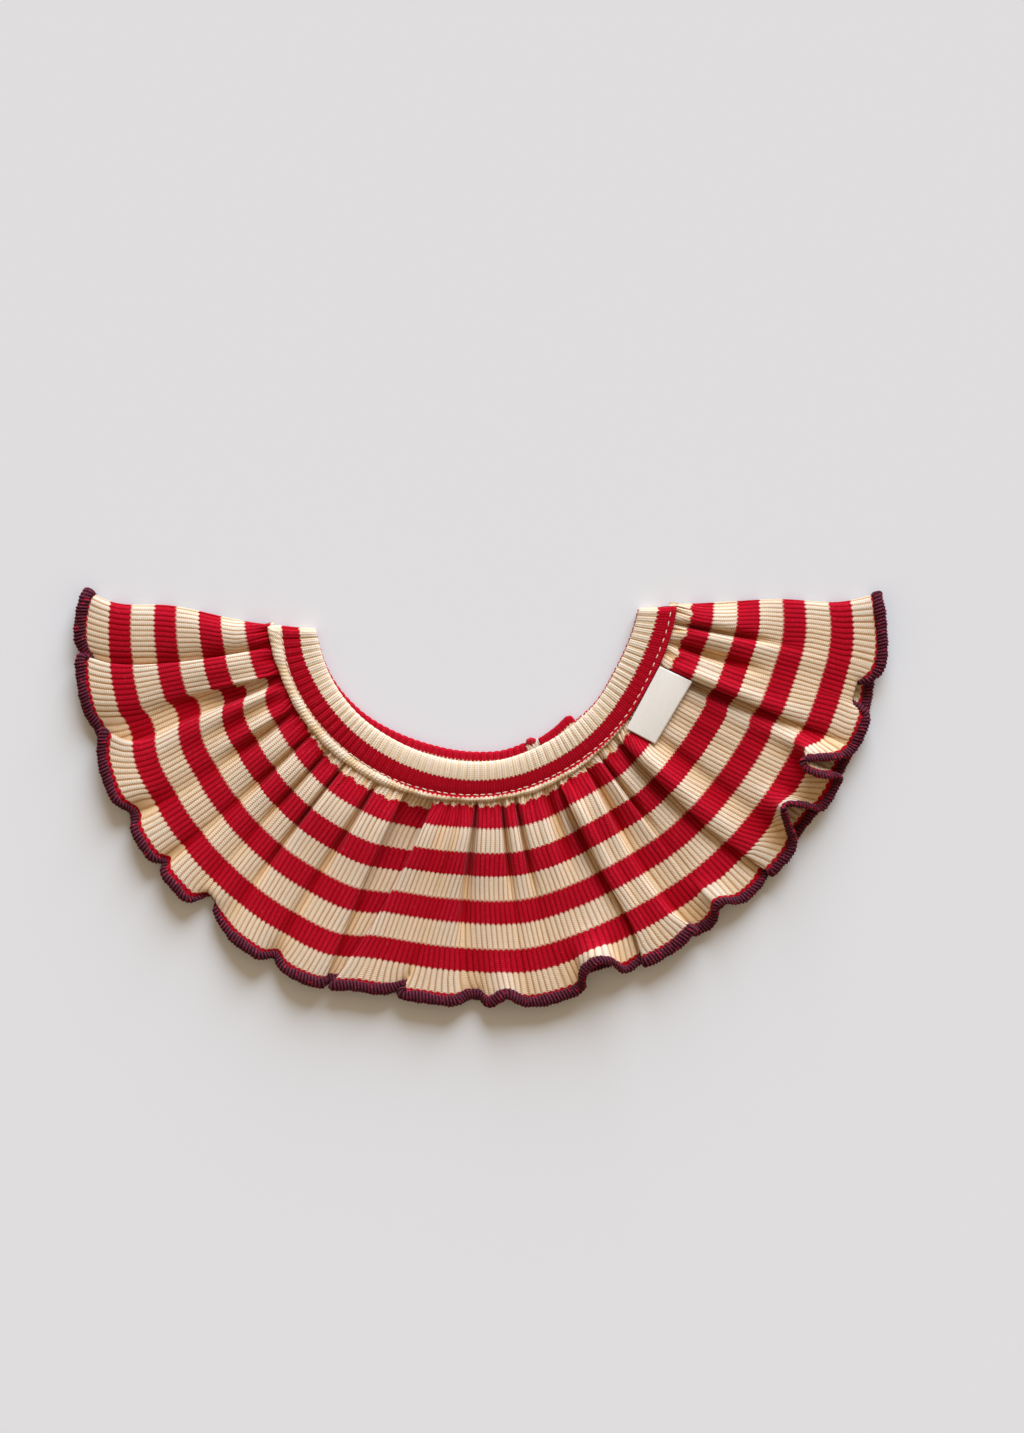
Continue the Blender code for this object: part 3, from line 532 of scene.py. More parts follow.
# %% [markdown]
# ## Making a mesh from rows of points
#
# A sheet of cloth starts as Blender's flat grid. Its points are moved to where the cloth lies, and
# a UV map records where each point is in the cloth itself: which rib it's on, and how far down the
# strip. The stripes and the knit follow that map, so they bend with every fold. A Solidify modifier
# then gives the sheet its thickness.

# %% A sheet from rows of points
def cloth_sheet(name, points, cloth_map, material, thickness, offset=-1.0, fold=None):
    """A flat grid moved to points (columns by levels), mapped, and given its thickness."""
    columns, levels = points.shape[:2]
    bpy.ops.object.select_all(action="DESELECT")
    bpy.ops.mesh.primitive_grid_add(x_subdivisions=columns - 1, y_subdivisions=levels - 1, size=2,
                                    calc_uvs=True)
    piece = bpy.context.object
    piece.name = name
    piece.data.name = name
    mesh = piece.data
    flat = np.empty(len(mesh.vertices) * 3)
    mesh.vertices.foreach_get("co", flat)
    flat = flat.reshape(-1, 3)
    across = np.rint((flat[:, 0] + 1) / 2 * (columns - 1)).astype(int)
    down = levels - 1 - np.rint((flat[:, 1] + 1) / 2 * (levels - 1)).astype(int)
    mesh.vertices.foreach_set("co", (points[across, down] * MM).ravel())
    corner = np.empty(len(mesh.loops), dtype=np.int32)
    mesh.loops.foreach_get("vertex_index", corner)
    mesh.uv_layers.active.name = "cloth"
    mesh.uv_layers.active.data.foreach_set("uv", cloth_map[across, down][corner].ravel())
    # fold: how much painted shade each point gets, for the material to read
    if fold is not None:
        deep = mesh.attributes.new("fold", "FLOAT", "POINT")
        deep.data.foreach_set("value", fold[across, down].astype(np.float32).ravel())
    mesh.update()
    mesh.materials.append(material)
    if thickness:
        wall = piece.modifiers.new("thickness", "SOLIDIFY")
        wall.thickness = thickness * MM
        wall.offset = offset
    mesh.shade_smooth()
    return piece


def triangles(piece):
    """How many triangles the finished piece has."""
    graph = bpy.context.evaluated_depsgraph_get()
    mesh = piece.evaluated_get(graph).to_mesh()
    count = sum(len(face.vertices) - 2 for face in mesh.polygons)
    piece.evaluated_get(graph).to_mesh_clear()
    return count


# %% [markdown]
# ## The striped rib
#
# The knitting machine changes its yarn every 10 mm or so, red and cream by turns. A change of yarn
# is never a ruled line: it steps with every stitch, further on the ridges than in the grooves. The
# material reads the cloth map, works out how far across a rib it is, and shifts the stripe by that.
# Grooves show the darker back of the knit with painted shade on it, and painted shade deepens the
# yarn's colour in the folds and in the seam's pinch. Small chevrons, one for each stitch, roughen
# the ridges.

# %% Small helpers for building a material
class Wire:
    """The output of a node. Sums written with it become Math nodes."""

    def __init__(self, tree, socket):
        self.tree, self.socket = tree, socket

    def calc(self, operation, *others):
        """A Math node that starts from this output."""
        return math_node(self.tree, operation, self, *others)

    def __add__(self, other):
        return self.calc("ADD", other)

    def __sub__(self, other):
        return self.calc("SUBTRACT", other)

    def __rsub__(self, other):
        return math_node(self.tree, "SUBTRACT", other, self)

    def __mul__(self, other):
        return self.calc("MULTIPLY", other)

    def __truediv__(self, other):
        return self.calc("DIVIDE", other)

    def __abs__(self):
        return self.calc("ABSOLUTE")


def link(source, target):
    """Put a number, a colour or another node's output into a socket."""
    if isinstance(source, Wire):
        source.tree.links.new(source.socket, target)
    else:
        target.default_value = source


def math_node(tree, operation, *values):
    """A Math node, as one call."""
    node = tree.nodes.new("ShaderNodeMath")
    node.operation = operation
    for socket, value in zip(node.inputs, values):
        link(value, socket)
    return Wire(tree, node.outputs[0])


def ridges(wire, rate=1.0):
    """A round ridge from each whole number to the next: 0 at both ends and 1 between them."""
    return abs((wire * (math.pi * rate)).calc("SINE"))


def blend_colors(tree, share, first, second, kind="MIX"):
    """Mix two colours."""
    node = tree.nodes.new("ShaderNodeMix")
    node.data_type = "RGBA"
    node.blend_type = kind
    link(share, node.inputs["Factor"])
    link(first, node.inputs["A"])
    link(second, node.inputs["B"])
    return Wire(tree, node.outputs["Result"])


def shaded(color, light):
    """A colour made darker or lighter by a number."""
    gray = light.tree.nodes.new("ShaderNodeCombineColor")
    for socket in gray.inputs[:3]:
        link(light, socket)
    return blend_colors(light.tree, 1.0, color, Wire(light.tree, gray.outputs[0]), "MULTIPLY")


def noise(place, scale, detail=2.0):
    """A soft noise around 0.5, on the given coordinates."""
    node = place.tree.nodes.new("ShaderNodeTexNoise")
    node.inputs["Scale"].default_value = scale
    node.inputs["Detail"].default_value = detail
    link(place, node.inputs["Vector"])
    return Wire(place.tree, node.outputs["Fac"])


def new_finish(name, roughness, sheen):
    """A material with its node tree, its shader and its two kinds of coordinates."""
    material = bpy.data.materials.new(name)
    material.use_nodes = True
    tree = material.node_tree
    shader = tree.nodes["Principled BSDF"]
    for socket, value in (("Roughness", roughness), ("Specular IOR Level", 0.03),
                          ("Sheen Weight", sheen), ("Sheen Roughness", 0.45)):
        shader.inputs[socket].default_value = value
    uv = tree.nodes.new("ShaderNodeUVMap")
    uv.uv_map = "cloth"
    split = tree.nodes.new("ShaderNodeSeparateXYZ")
    tree.links.new(uv.outputs["UV"], split.inputs["Vector"])
    place = tree.nodes.new("ShaderNodeTexCoord").outputs["Object"]
    places = [Wire(tree, socket) for socket in (split.outputs["X"], split.outputs["Y"], place)]
    return material, tree, shader, *places


def finish_with(shader, color, height, distance):
    """Send a colour, and a height by way of a Bump node, into the shader."""
    link(color, shader.inputs["Base Color"])
    node = color.tree.nodes.new("ShaderNodeBump")
    node.inputs["Strength"].default_value = 1.0
    node.inputs["Distance"].default_value = distance
    link(height, node.inputs["Height"])
    link(Wire(color.tree, node.outputs["Normal"]), shader.inputs["Normal"])


def stripes(depth, changes, longest, blur):
    """1 where the yarn is cream and 0 where it's red: cream first, then a change at each depth."""
    ramp = depth.tree.nodes.new("ShaderNodeValToRGB")
    link(depth / longest, ramp.inputs["Fac"])
    ramp.color_ramp.interpolation = "LINEAR"
    stops = ramp.color_ramp.elements
    value = 1.0
    stops[0].position, stops[0].color = 0.0, (value,) * 3 + (1.0,)
    stops[1].position, stops[1].color = 1.0, (1.0 - len(changes) % 2,) * 3 + (1.0,)
    for change in changes:
        for position, level in ((change - blur, value), (change + blur, 1.0 - value)):
            stop = stops.new(min(max(position / longest, 0.0), 1.0))
            stop.color = (level,) * 3 + (1.0,)
        value = 1.0 - value
    return Wire(depth.tree, ramp.outputs["Color"])


# %% The striped rib's finish
YARN_CHANGES = (9.2, 18.9, 28.4, 38.0, 47.5, 57.4, 66.9, 76.0)  # after the first change at 0
MAP_START = 20.0  # the first change's own depth on the cloth map
# Each yarn lit on a crest, in painted shade deep in a fold, and in the groove between two ribs,
# which is the darker back of the knit with painted shade on it.
CREAMS_WITH_SHADE = ((0.66, 0.54, 0.425, 1.0), (0.72, 0.48, 0.275, 1.0), (0.41, 0.195, 0.065, 1.0))
REDS_WITH_SHADE = ((0.42, 0.005, 0.018, 1.0), (0.35, 0.001, 0.007, 1.0), (0.18, 0.0004, 0.003, 1.0))
BAND_CREAMS_WITH_SHADE = ((0.71, 0.585, 0.465, 1.0), (0.69, 0.49, 0.29, 1.0), (0.48, 0.27, 0.10, 1.0))
# Painted highlight: loose fibres of the red yarn, lighter where they catch the light.
RED_FIBRE_HIGHLIGHT = (0.58, 0.035, 0.060, 1.0)  # loose fibres of the red yarn, where they catch the light
STITCH = 0.85  # one stitch of the knit, along the rib
BLUR = 0.14  # a change of yarn fades over this far to each side
FUZZ, CLOUD = 900.0, 45.0  # fine fluff and slow changes of shade: how many to a metre
# The painted shade in each pinched stitch of the band.
HOLE_SHADE_COLOR = (0.03, 0.004, 0.006, 1.0)
HOLE_WIDE, HOLE_HIGH = 3.2, 4.2  # the larger, the smaller the holes
STRIP_MAP_END, BAND_MAP_END = 110.0, 60.0  # past the last depth on each map


def rib_finish(name, changes, longest, creams_with_shade, line_share=1.0, teeth=(1.0, 0.75), holes=None):
    """Cream and red rib: stripes by cloth depth, grooves and stitches by rib number."""
    material, tree, shader, number, depth, place = new_finish(name, 0.95, 0.06)
    # Painted shade: the fold attribute up to 1 turns the yarn to its shaded colour deep in a fold,
    # and above 1 to the groove colour in the seam's pinch.
    attribute = tree.nodes.new("ShaderNodeAttribute")
    attribute.attribute_name = "fold"
    fold = Wire(tree, attribute.outputs["Fac"])
    deep = fold.calc("MINIMUM", 1.0)
    pinch_shade = (fold - 1.0).calc("MAXIMUM", 0.0)
    part = number.calc("FRACT")
    fuzz = noise(place, FUZZ, 3.0)
    # the yarn change steps with each rib, and wanders a little
    tooth = (ridges(number, teeth[0]) - 0.6) * teeth[1]
    wander = (fuzz - 0.5) * 0.7
    cream_here = stripes(depth + tooth + wander, changes, longest, BLUR)
    # each stitch is a small chevron
    stitch = ridges(depth / STITCH + abs(part - 0.5) * 1.1)
    # some grooves are drawn tight and others hardly show
    spread = tree.nodes.new("ShaderNodeCombineXYZ")
    link(number * 0.8, spread.inputs["X"])
    link(depth * 0.05, spread.inputs["Y"])
    uneven = noise(Wire(tree, spread.outputs["Vector"]), 1.0, 3.0)
    strength = uneven.calc("MULTIPLY_ADD", 1.6 * line_share, 0.2 * line_share)
    # the groove colour is the darker back of the knit with painted shade on it
    groove = (1.0 - ridges(part)).calc("POWER", 1.8) * strength
    groove = groove.calc("MAXIMUM", pinch_shade).calc("MINIMUM", 1.0)
    cream = blend_colors(tree, groove, blend_colors(tree, deep, creams_with_shade[0], creams_with_shade[1]), creams_with_shade[2])
    # painted highlight on loose red fibres
    fibre_highlight = (fuzz - 0.59).calc("MAXIMUM", 0.0) * 2.6
    red = blend_colors(tree, deep, blend_colors(tree, fibre_highlight, REDS_WITH_SHADE[0], RED_FIBRE_HIGHLIGHT), REDS_WITH_SHADE[1])
    red = blend_colors(tree, groove, red, REDS_WITH_SHADE[2])
    light = fuzz * 0.22 + noise(place, CLOUD) * 0.18 + stitch * 0.12 + uneven * 0.12 + 0.67
    color = shaded(blend_colors(tree, cream_here, red, cream), light)
    if holes:
        # a row of pinched stitches, each painted as a dark spot of shade: the ribs from one to the
        # next, and the depth they lie at
        every, level = holes
        beside = ((number / every).calc("FRACT") - 0.5) * (every * HOLE_WIDE)
        below = (depth - level) * HOLE_HIGH
        hole_shade = (1.0 - (beside * beside + below * below)).calc("MAXIMUM", 0.0) * 0.8
        color = blend_colors(tree, hole_shade, color, HOLE_SHADE_COLOR)
    finish_with(shader, color, stitch * 0.55 + fuzz * 0.5, 0.00018)
    return material


strip_changes = (MAP_START,) + tuple(MAP_START + change for change in YARN_CHANGES)
strip_finish = rib_finish("striped_rib_jersey", strip_changes, STRIP_MAP_END, CREAMS_WITH_SHADE)
print("made", strip_finish.name)

# %% [markdown]
# ## The front of the ruffle
#
# The front strip is one sheet of cloth, but a mesh of it all would be very heavy, so it's laid out
# as two sheets. They meet in the groove between two ribs, deep in a tuck where one fold covers
# another, so the join is out of sight. Both run on round the shoulder folds to the back layer.

# %% Make the front of the ruffle
CLOTH_THICKNESS = 0.75
HIDDEN_TUCK = (70.0, 80.0)  # the tuck where the halves meet lies between these angles
# Next to the seam the stripes wander, because the gathering pulls the ribs unevenly.
WANDER, WANDER_REACH = ((0.5, 1.9), (0.35, 0.83)), 4.0
EARLY = ((0.0, 1.8), (30.0, 1.8), (48.0, 0.0))  # at the left the red starts right under the lip


def cloth_map(numbers, down, early=0.0):
    """The cloth map: rib number, and depth in millimetres counted from MAP_START above the seam."""
    wander = waves(early, numbers, WANDER)
    depth = down + wander[:, None] * np.exp(-(down / WANDER_REACH) ** 2)
    return np.stack([np.broadcast_to(numbers[:, None], down.shape), depth + MAP_START], axis=-1)


def angle_of(points):
    """The fan angle of points."""
    return np.degrees(np.arctan2(FAN_Y - points[..., 1], FAN_X - points[..., 0]))


early = by_angle(EARLY, angle_of(front_middle[:, 2]))
front_map = cloth_map(front_numbers, front_down, early)
rib_angles = angle_of(front_middle[::COLUMNS_A_RIB, len(LEVELS) // 2])
in_tuck = (rib_angles[:-1] > HIDDEN_TUCK[0]) & (rib_angles[:-1] < HIDDEN_TUCK[1])
split_rib = int(np.flatnonzero((np.diff(rib_angles) < 0) & in_tuck)[0])
split = split_rib * COLUMNS_A_RIB
front_left, front_right = [
    cloth_sheet("ruffle_front_%s_half" % side, front_points[half], front_map[half], strip_finish,
                CLOTH_THICKNESS, fold=front_fold_shade[half])
    for side, half in (("left", slice(0, split + 1)), ("right", slice(split, None)))]
print("front halves:", triangles(front_left), triangles(front_right), "triangles")

# %% [markdown]
# ## The back of the ruffle
#
# The back layer lies face down under the front one. From above only a few slips of it show between
# the folds, but from below it's the side that shows, so it gets the same ribs and stripes. Its
# pleats are soft and low, because the front lies on it. It meets the front at the shoulder folds,
# where the front strip has been carried round to lie on the table. Its columns run towards the
# left, so that its face points down.

# %% Make the back of the ruffle
# Each pleat of the back: its angle at the seam and at the edge, how high it rises, its half width.
BACK_PLEATS = (
    ( 21.0,  17.0, 1.0, 2.2),
    ( 36.0,  35.0, 1.1, 1.9),
    ( 50.0,  51.0, 1.0, 2.3),
    ( 64.0,  62.0, 1.1, 2.0),
    ( 79.0,  77.0, 1.0, 1.9),
    ( 94.0,  93.0, 1.1, 2.2),
    (121.0, 120.0, 1.1, 2.0),
    (134.0, 135.0, 1.0, 1.9),
    (147.0, 148.5, 1.1, 2.2),
    (162.0, 163.0, 1.0, 2.0),
)
BACK_OPENING_LEFT, BACK_OPENING_RIGHT = 109.6, 111.3
BACK_LOW = 0.35  # the face of the back layer, where it lies on the table
BACK_FIRST_STRIPE = (0.3, 2.5, 6.3)  # where the first red stripe starts: left, middle, right
BACK_RIB_HEIGHT = 0.3
BACK_LOWEST = 0.05  # nothing of it reaches the table's own level


def back_row(angles, height, tuck):
    """A row of the fold table for the back layer, as high at its edge as at its seam."""
    first = float(np.interp(angles[1], (0.0, 95.0, 180.0), BACK_FIRST_STRIPE))
    return whole_row(tuple(angles) + (height,) * 5 + (first, tuck))


def back_rows(pleats):
    """Three rows for each pleat, from right to left."""
    rows = []
    for seam, rim, rise, half in sorted(pleats, reverse=True):
        for shift, height, tuck in ((half, 0.0, 0.0), (0.0, rise, 1.0), (-half, 0.0, 0.0)):
            angles = (seam + shift, (seam + rim) / 2 + shift, rim + shift, rim + shift)
            rows.append(back_row(angles, BACK_LOW + height, tuck))
    return rows


back_tables = {
    "left": [back_row((BACK_OPENING_LEFT,) * 4, BACK_LOW, 0.0)]
            + back_rows([pleat for pleat in BACK_PLEATS if pleat[0] < BACK_OPENING_LEFT])
            + [front_rows[0]],
    "right": [front_rows[-1]]
             + back_rows([pleat for pleat in BACK_PLEATS if pleat[0] > BACK_OPENING_RIGHT])
             + [back_row((BACK_OPENING_RIGHT,) * 4, BACK_LOW, 0.0)],
}
back_strips = {}
for side, rows in back_tables.items():
    table = np.array(rows)
    middle, numbers, down = strip_surface(table, "back_hem")
    points = raise_ribs(middle, numbers, BACK_RIB_HEIGHT)
    points[:, :, 2] = np.maximum(points[:, :, 2], BACK_LOWEST)
    sheet = cloth_sheet("ruffle_back_%s_half" % side, points, cloth_map(numbers, down),
                        strip_finish, CLOTH_THICKNESS, fold=fold_shade_depth(middle, numbers))
    back_strips[side] = (sheet, middle, int(numbers[-1]))
    print("back", side, int(numbers[-1]), "ribs", triangles(sheet), "triangles")

# %% [markdown]
# ## The overlocked edge
#
# An overlock machine wraps the cut edge of the cloth in thread, hundreds of slanting turns side by
# side. Winding each turn as a curve would cost too much. Instead a flat tube follows the edge, and
# its surface rises and falls once for each turn, on a slant. The tube is a grid whose two long
# edges are joined, so it's made in the same way as the cloth.

# %% A closed tube from rings of points
def joined_tube(name, rings, ring_map, material, fold=None):
    """A grid rolled up: each ring ends where it starts, the seam is merged, the ends are closed."""
    piece = cloth_sheet(name, rings, ring_map, material, 0.0, fold=fold)
    bpy.ops.object.mode_set(mode="EDIT")
    bpy.ops.mesh.select_all(action="SELECT")
    bpy.ops.mesh.remove_doubles(threshold=1e-7)
    bpy.ops.mesh.select_all(action="DESELECT")
    bpy.ops.mesh.select_non_manifold()
    bpy.ops.mesh.edge_face_add()
    bpy.ops.mesh.select_all(action="SELECT")
    bpy.ops.mesh.normals_make_consistent(inside=False)
    bpy.ops.object.mode_set(mode="OBJECT")
    return piece


def length_along(points):
    """How far along a line each of its points lies."""
    return np.concatenate([[0.0], np.cumsum(steps_along(points))])


def even_steps(points, step):
    """The same line with points at equal steps along it, and the length so far at each."""
    length = length_along(points[:, :3])
    count = int(length[-1] / step) + 1
    where = np.linspace(0.0, length[-1], count)
    return np.column_stack([np.interp(where, length, column) for column in points.T]), where


# %% The thread's finish
# Plum thread, and the painted shade in the gaps between its turns.
PLUM, PLUM_GAP_SHADE = (0.120, 0.022, 0.038, 1.0), (0.007, 0.001, 0.002, 1.0)
RED_THREAD = (0.45, 0.008, 0.030, 1.0)
TURN_SLANT = 2.0  # a turn slants over the width of this many turns


def edge_thread_finish():
    """Plum thread with red showing through: U counts the turns, V goes once around the edge."""
    material, tree, shader, turn, around, place = new_finish("overlock_thread", 0.9, 0.04)
    ridge = ridges(turn + around * TURN_SLANT)
    fluff = noise(place, 2600.0)
    patches = noise(place, 700.0)
    # painted shade between the turns
    plum = blend_colors(tree, (1.0 - ridge).calc("POWER", 0.7), PLUM, PLUM_GAP_SHADE)
    # red knots sit on the outermost line, about two for every three turns, and flecks elsewhere
    outer = 1.0 - abs((around - 0.5) * 14.0)
    dots = (turn * (math.pi * 1.3)).calc("SINE")
    knots = (outer + dots + patches).calc("GREATER_THAN", 1.55)
    reds = knots.calc("MAXIMUM", patches.calc("GREATER_THAN", 0.66))
    color = blend_colors(tree, reds * 0.75, plum, RED_THREAD)
    light = fluff.calc("MULTIPLY_ADD", 3.4, -0.72).calc("MAXIMUM", 0.1)
    finish_with(shader, shaded(color, light), fluff + ridge * 0.4, 0.0002)
    return material


edge_finish = edge_thread_finish()
print("made", edge_finish.name)

# %% Make the overlocked edges
EDGE_DEPTH = 79.1  # the middle of the thread band, from the seam
EDGE_INNER = 75.0  # its direction is read from here to the hem
EDGE_HALF_WIDTH, EDGE_HALF_THICKNESS = 1.95, 0.95
EDGE_TURN = 1.35  # one turn of thread
EDGE_ROUND = 12  # points around
TURN_RELIEF = 0.50
FRONT_COLUMNS, BACK_COLUMNS = 5, 4  # columns of points in one turn
# How the turns differ in height and in width: sizes and rates of waves.
TURN_UNEVEN = ((0.26, 2.1), (0.22, 0.77))
WIDTH_UNEVEN = ((0.07, 0.43), (0.05, 1.37))
ABOVE_TABLE = 0.02
# How much of the edge's width is seen, by angle: in places it curls under the hem.
FRONT_EDGE_SEEN = (
    (0.0, 1.05), (8.0, 1.0), (12.0, 0.85), (27.0, 0.85), (32.0, 0.62), (36.0, 0.85), (41.3, 0.55),
    (44.0, 0.85), (47.5, 0.40), (51.0, 0.50), (55.5, 0.90), (58.0, 0.90), (61.3, 0.60), (64.5, 1.0),
    (107.0, 1.0), (110.0, 0.50), (112.0, 0.75), (115.5, 1.05), (123.5, 1.05), (126.4, 0.62),
    (128.8, 0.62), (132.5, 0.85), (135.1, 0.55), (136.8, 0.95), (142.0, 0.80), (146.0, 0.72),
    (150.0, 0.75), (153.0, 0.65), (156.0, 0.70), (158.5, 0.85), (162.0, 0.75), (167.5, 0.60),
    (170.4, 0.95), (180.0, 1.0),
)
BACK_EDGE_SEEN = ((0.0, 1.0), (180.0, 1.0))


def edge_tube(name, middle, seen, columns_a_turn):
    """The wrapped edge of a strip whose middle surface is given."""
    inner = np.searchsorted(LEVELS, EDGE_INNER)
    span = LEVELS[-1] - LEVELS[inner]
    share = (EDGE_DEPTH - LEVELS[inner]) / span
    line = np.concatenate([middle[:, inner], middle[:, -1]], axis=1)
    rib_means = line[::COLUMNS_A_RIB // 2]
    centre = rib_means[:, :3] * (1 - share) + rib_means[:, 3:] * share
    outward = rib_means[:, 3:] - rib_means[:, :3]
    path, length = even_steps(np.concatenate([centre, outward], axis=1), EDGE_TURN / columns_a_turn)
    path = soften(path, columns_a_turn)
    along = np.gradient(path[:, :3], axis=0)
    along /= np.linalg.norm(along, axis=1)[:, None]
    out = path[:, 3:] - along * (path[:, 3:] * along).sum(axis=1)[:, None]
    out /= np.linalg.norm(out, axis=1)[:, None]
    up = np.cross(out, along)
    turns = length / EDGE_TURN
    around = np.linspace(0.0, 1.0, EDGE_ROUND + 1)
    slanted = turns[:, None] + TURN_SLANT * around[None, :]
    uneven = waves(1.0, turns, TURN_UNEVEN)[:, None]
    share_seen = by_angle(seen, angle_of(path))
    path[:, :3] += out * (EDGE_HALF_WIDTH * (1.0 - share_seen))[:, None]
    wide = (EDGE_HALF_WIDTH * waves(1.0, turns, WIDTH_UNEVEN) * share_seen)[:, None, None]
    relief = TURN_RELIEF * (uneven * np.abs(np.sin(np.pi * slanted)))[:, :, None]
    angle = 2 * np.pi * (around - 0.5)
    flat = np.cos(angle)[None, :, None] * (wide + relief)
    high = np.sin(angle)[None, :, None] * (EDGE_HALF_THICKNESS + relief)
    rings = path[:, None, :3] + out[:, None, :] * flat + up[:, None, :] * high
    rings[:, :, 2] = np.maximum(rings[:, :, 2], ABOVE_TABLE)
    ring_map = np.stack(np.broadcast_arrays(turns[:, None], around[None, :]), axis=-1)
    piece = joined_tube(name, rings, ring_map, edge_finish)
    print(name, int(turns[-1]), "turns,", triangles(piece), "triangles")
    return piece


edge_left, edge_right, edge_back_left, edge_back_right = [edge_tube(*job) for job in (
    ("edge_front_left_half", front_middle[:split + 1], FRONT_EDGE_SEEN, FRONT_COLUMNS),
    ("edge_front_right_half", front_middle[split:], FRONT_EDGE_SEEN, FRONT_COLUMNS),
    ("edge_back_left_half", back_strips["left"][1], BACK_EDGE_SEEN, BACK_COLUMNS),
    ("edge_back_right_half", back_strips["right"][1], BACK_EDGE_SEEN, BACK_COLUMNS),
)]

# %% [markdown]
# ## The neckband
#
# The neckband is the same rib, folded double along the neck. Most of a cream stripe and a red one
# show on it, with the seam's lip below. It's soft and thick, so its section is rounded at the neck,
# sinks along the topstitching and swells again in the lip. Where it's squeezed into the curve the
# cream part puckers. The band is a tube too: one closed section, moved along the fan.

# %% Lines of the front of the neckband
# Distances from the fan's centre, by angle: where the cream stripe ends, the topstitching, and
# where the red stripe ends. From 143 degrees on, the red stripe runs out past the lip.
BAND_LINES = (
    # angle   cream  stitch   red
    (  0.0,   73.2,   79.6,  79.8),
    ( 10.0,   73.2,   80.4,  80.4),
    ( 15.0,   74.0,   81.2,  81.2),
    ( 20.0,   74.8,   82.0,  82.0),
    ( 30.0,   75.0,   82.8,  82.8),
    ( 45.0,   75.2,   82.9,  83.0),
    ( 60.0,   75.2,   82.5,  82.6),
    ( 70.0,   75.2,   82.0,  83.0),
    ( 80.0,   75.2,   81.5,  82.8),
    ( 90.0,   75.2,   81.0,  82.0),
    (100.0,   74.8,   80.4,  81.4),
    (112.0,   73.6,   79.0,  80.0),
    (120.0,   72.8,   78.2,  79.4),
    (130.0,   71.8,   77.4,  78.6),
    (138.0,   70.8,   76.6,  78.1),
    (143.0,   70.2,   76.1,  79.4),
    (150.0,   69.8,   75.4,  82.0),
    (160.0,   69.8,   75.2,  83.0),
    (170.0,   70.8,   76.2,  84.0),
    (180.0,   71.6,   76.8,  84.0),
)
BAND_NAMES = ("angle", "cream", "stitch", "red")
# The band's section: share of the way from the neck edge to the lip's edge, and height, clockwise
# from the middle of the neck fold.
BAND_SECTION = (
    (0.000, 4.40), (0.006, 4.90), (0.030, 5.40), (0.080, 5.80), (0.160, 6.10), (0.280, 6.25),
    (0.420, 6.20), (0.560, 6.00), (0.680, 5.70), (0.745, 5.40), (0.775, 5.25), (0.805, 5.40),
    (0.850, 5.95), (0.910, 6.20), (0.965, 6.00), (0.995, 5.50), (1.000, 5.00), (0.985, 4.50),
    (0.900, 3.90), (0.700, 3.30), (0.400, 3.10), (0.100, 3.30), (0.020, 3.80), (0.000, 4.40),
)
SECTION_WIDTH = 18.0  # the band is about this wide, for measuring round its section
STITCH_SHARE = 0.775  # the groove's place in the section
CREAM_WIDTH, RED_WIDTH = 8.0, 7.0  # the band's stripes on its own cloth map
BAND_STEPS = 64  # points round the section, after smoothing
BAND_COLUMN = 0.215  # from one ring of points to the next
FRONT_MIDDLE, BACK_MIDDLE = 77.0, 75.0  # the lines that lengths along the band are measured on
LEAN_REACH = 25.0  # degrees over which the slant of an end fades out
PUCKER, PUCKER_HEIGHT = 2.95, 0.66
PUCKER_ROUND, PUCKER_MEAN = 0.36, 0.66  # broad puckers with narrow creases, and their mean
# The thin line of painted shade between two puckers: its width and strength.
CREASE_WIDTH, CREASE_SHADE = 0.30, 0.75  # the thin dark line between two puckers
WALE, WALE_HEIGHT = 1.05, 0.13  # the band's fine ribs
LIP_TURN, LIP_HEIGHT = 1.35, 0.24  # the slanting turns on the lip
# How strong the puckers are on the cream stripe and on the red one, by angle.
PUCKERED = ((0.0, 1.0), (60.0, 1.0), (80.0, 0.85), (108.0, 0.85), (130.0, 0.95), (180.0, 0.95))
RED_PUCKERED = ((0.0, 1.1), (48.0, 1.1), (72.0, 0.3), (120.0, 0.15), (180.0, 0.3))
BACK_BUMP, BACK_BUMP_HEIGHT = 3.1, 0.62  # the wider ribs of the back's edge
BAND_BOTTOM, BAND_TOP = 0.4, 6.2  # the heights between which the front's ends come together
UNDERSIDE = 4.4  # what lies lower than this is the band's underside
END_DROP = 1.6  # by an end the underside comes down over about this distance
BAND_END_ROUND, END_FALL = 2.2, 0.92  # how long a rounded end is, and how nearly it closes


def band_line(name, angle):
    """A distance from the table BAND_LINES."""
    return table_curve(BAND_LINES, BAND_NAMES, name, angle)


def smooth_section(section, count):
    """The section's points as a smooth closed line, at even steps."""
    corners = np.array(section)
    corners[:, 0] *= SECTION_WIDTH
    lengths = length_along(corners)
    fine = through(lengths, corners, np.linspace(0.0, lengths[-1], count))
    fine[:, 0] /= SECTION_WIDTH
    return fine


section = smooth_section(BAND_SECTION, BAND_STEPS)
print("band section", len(section), "points")

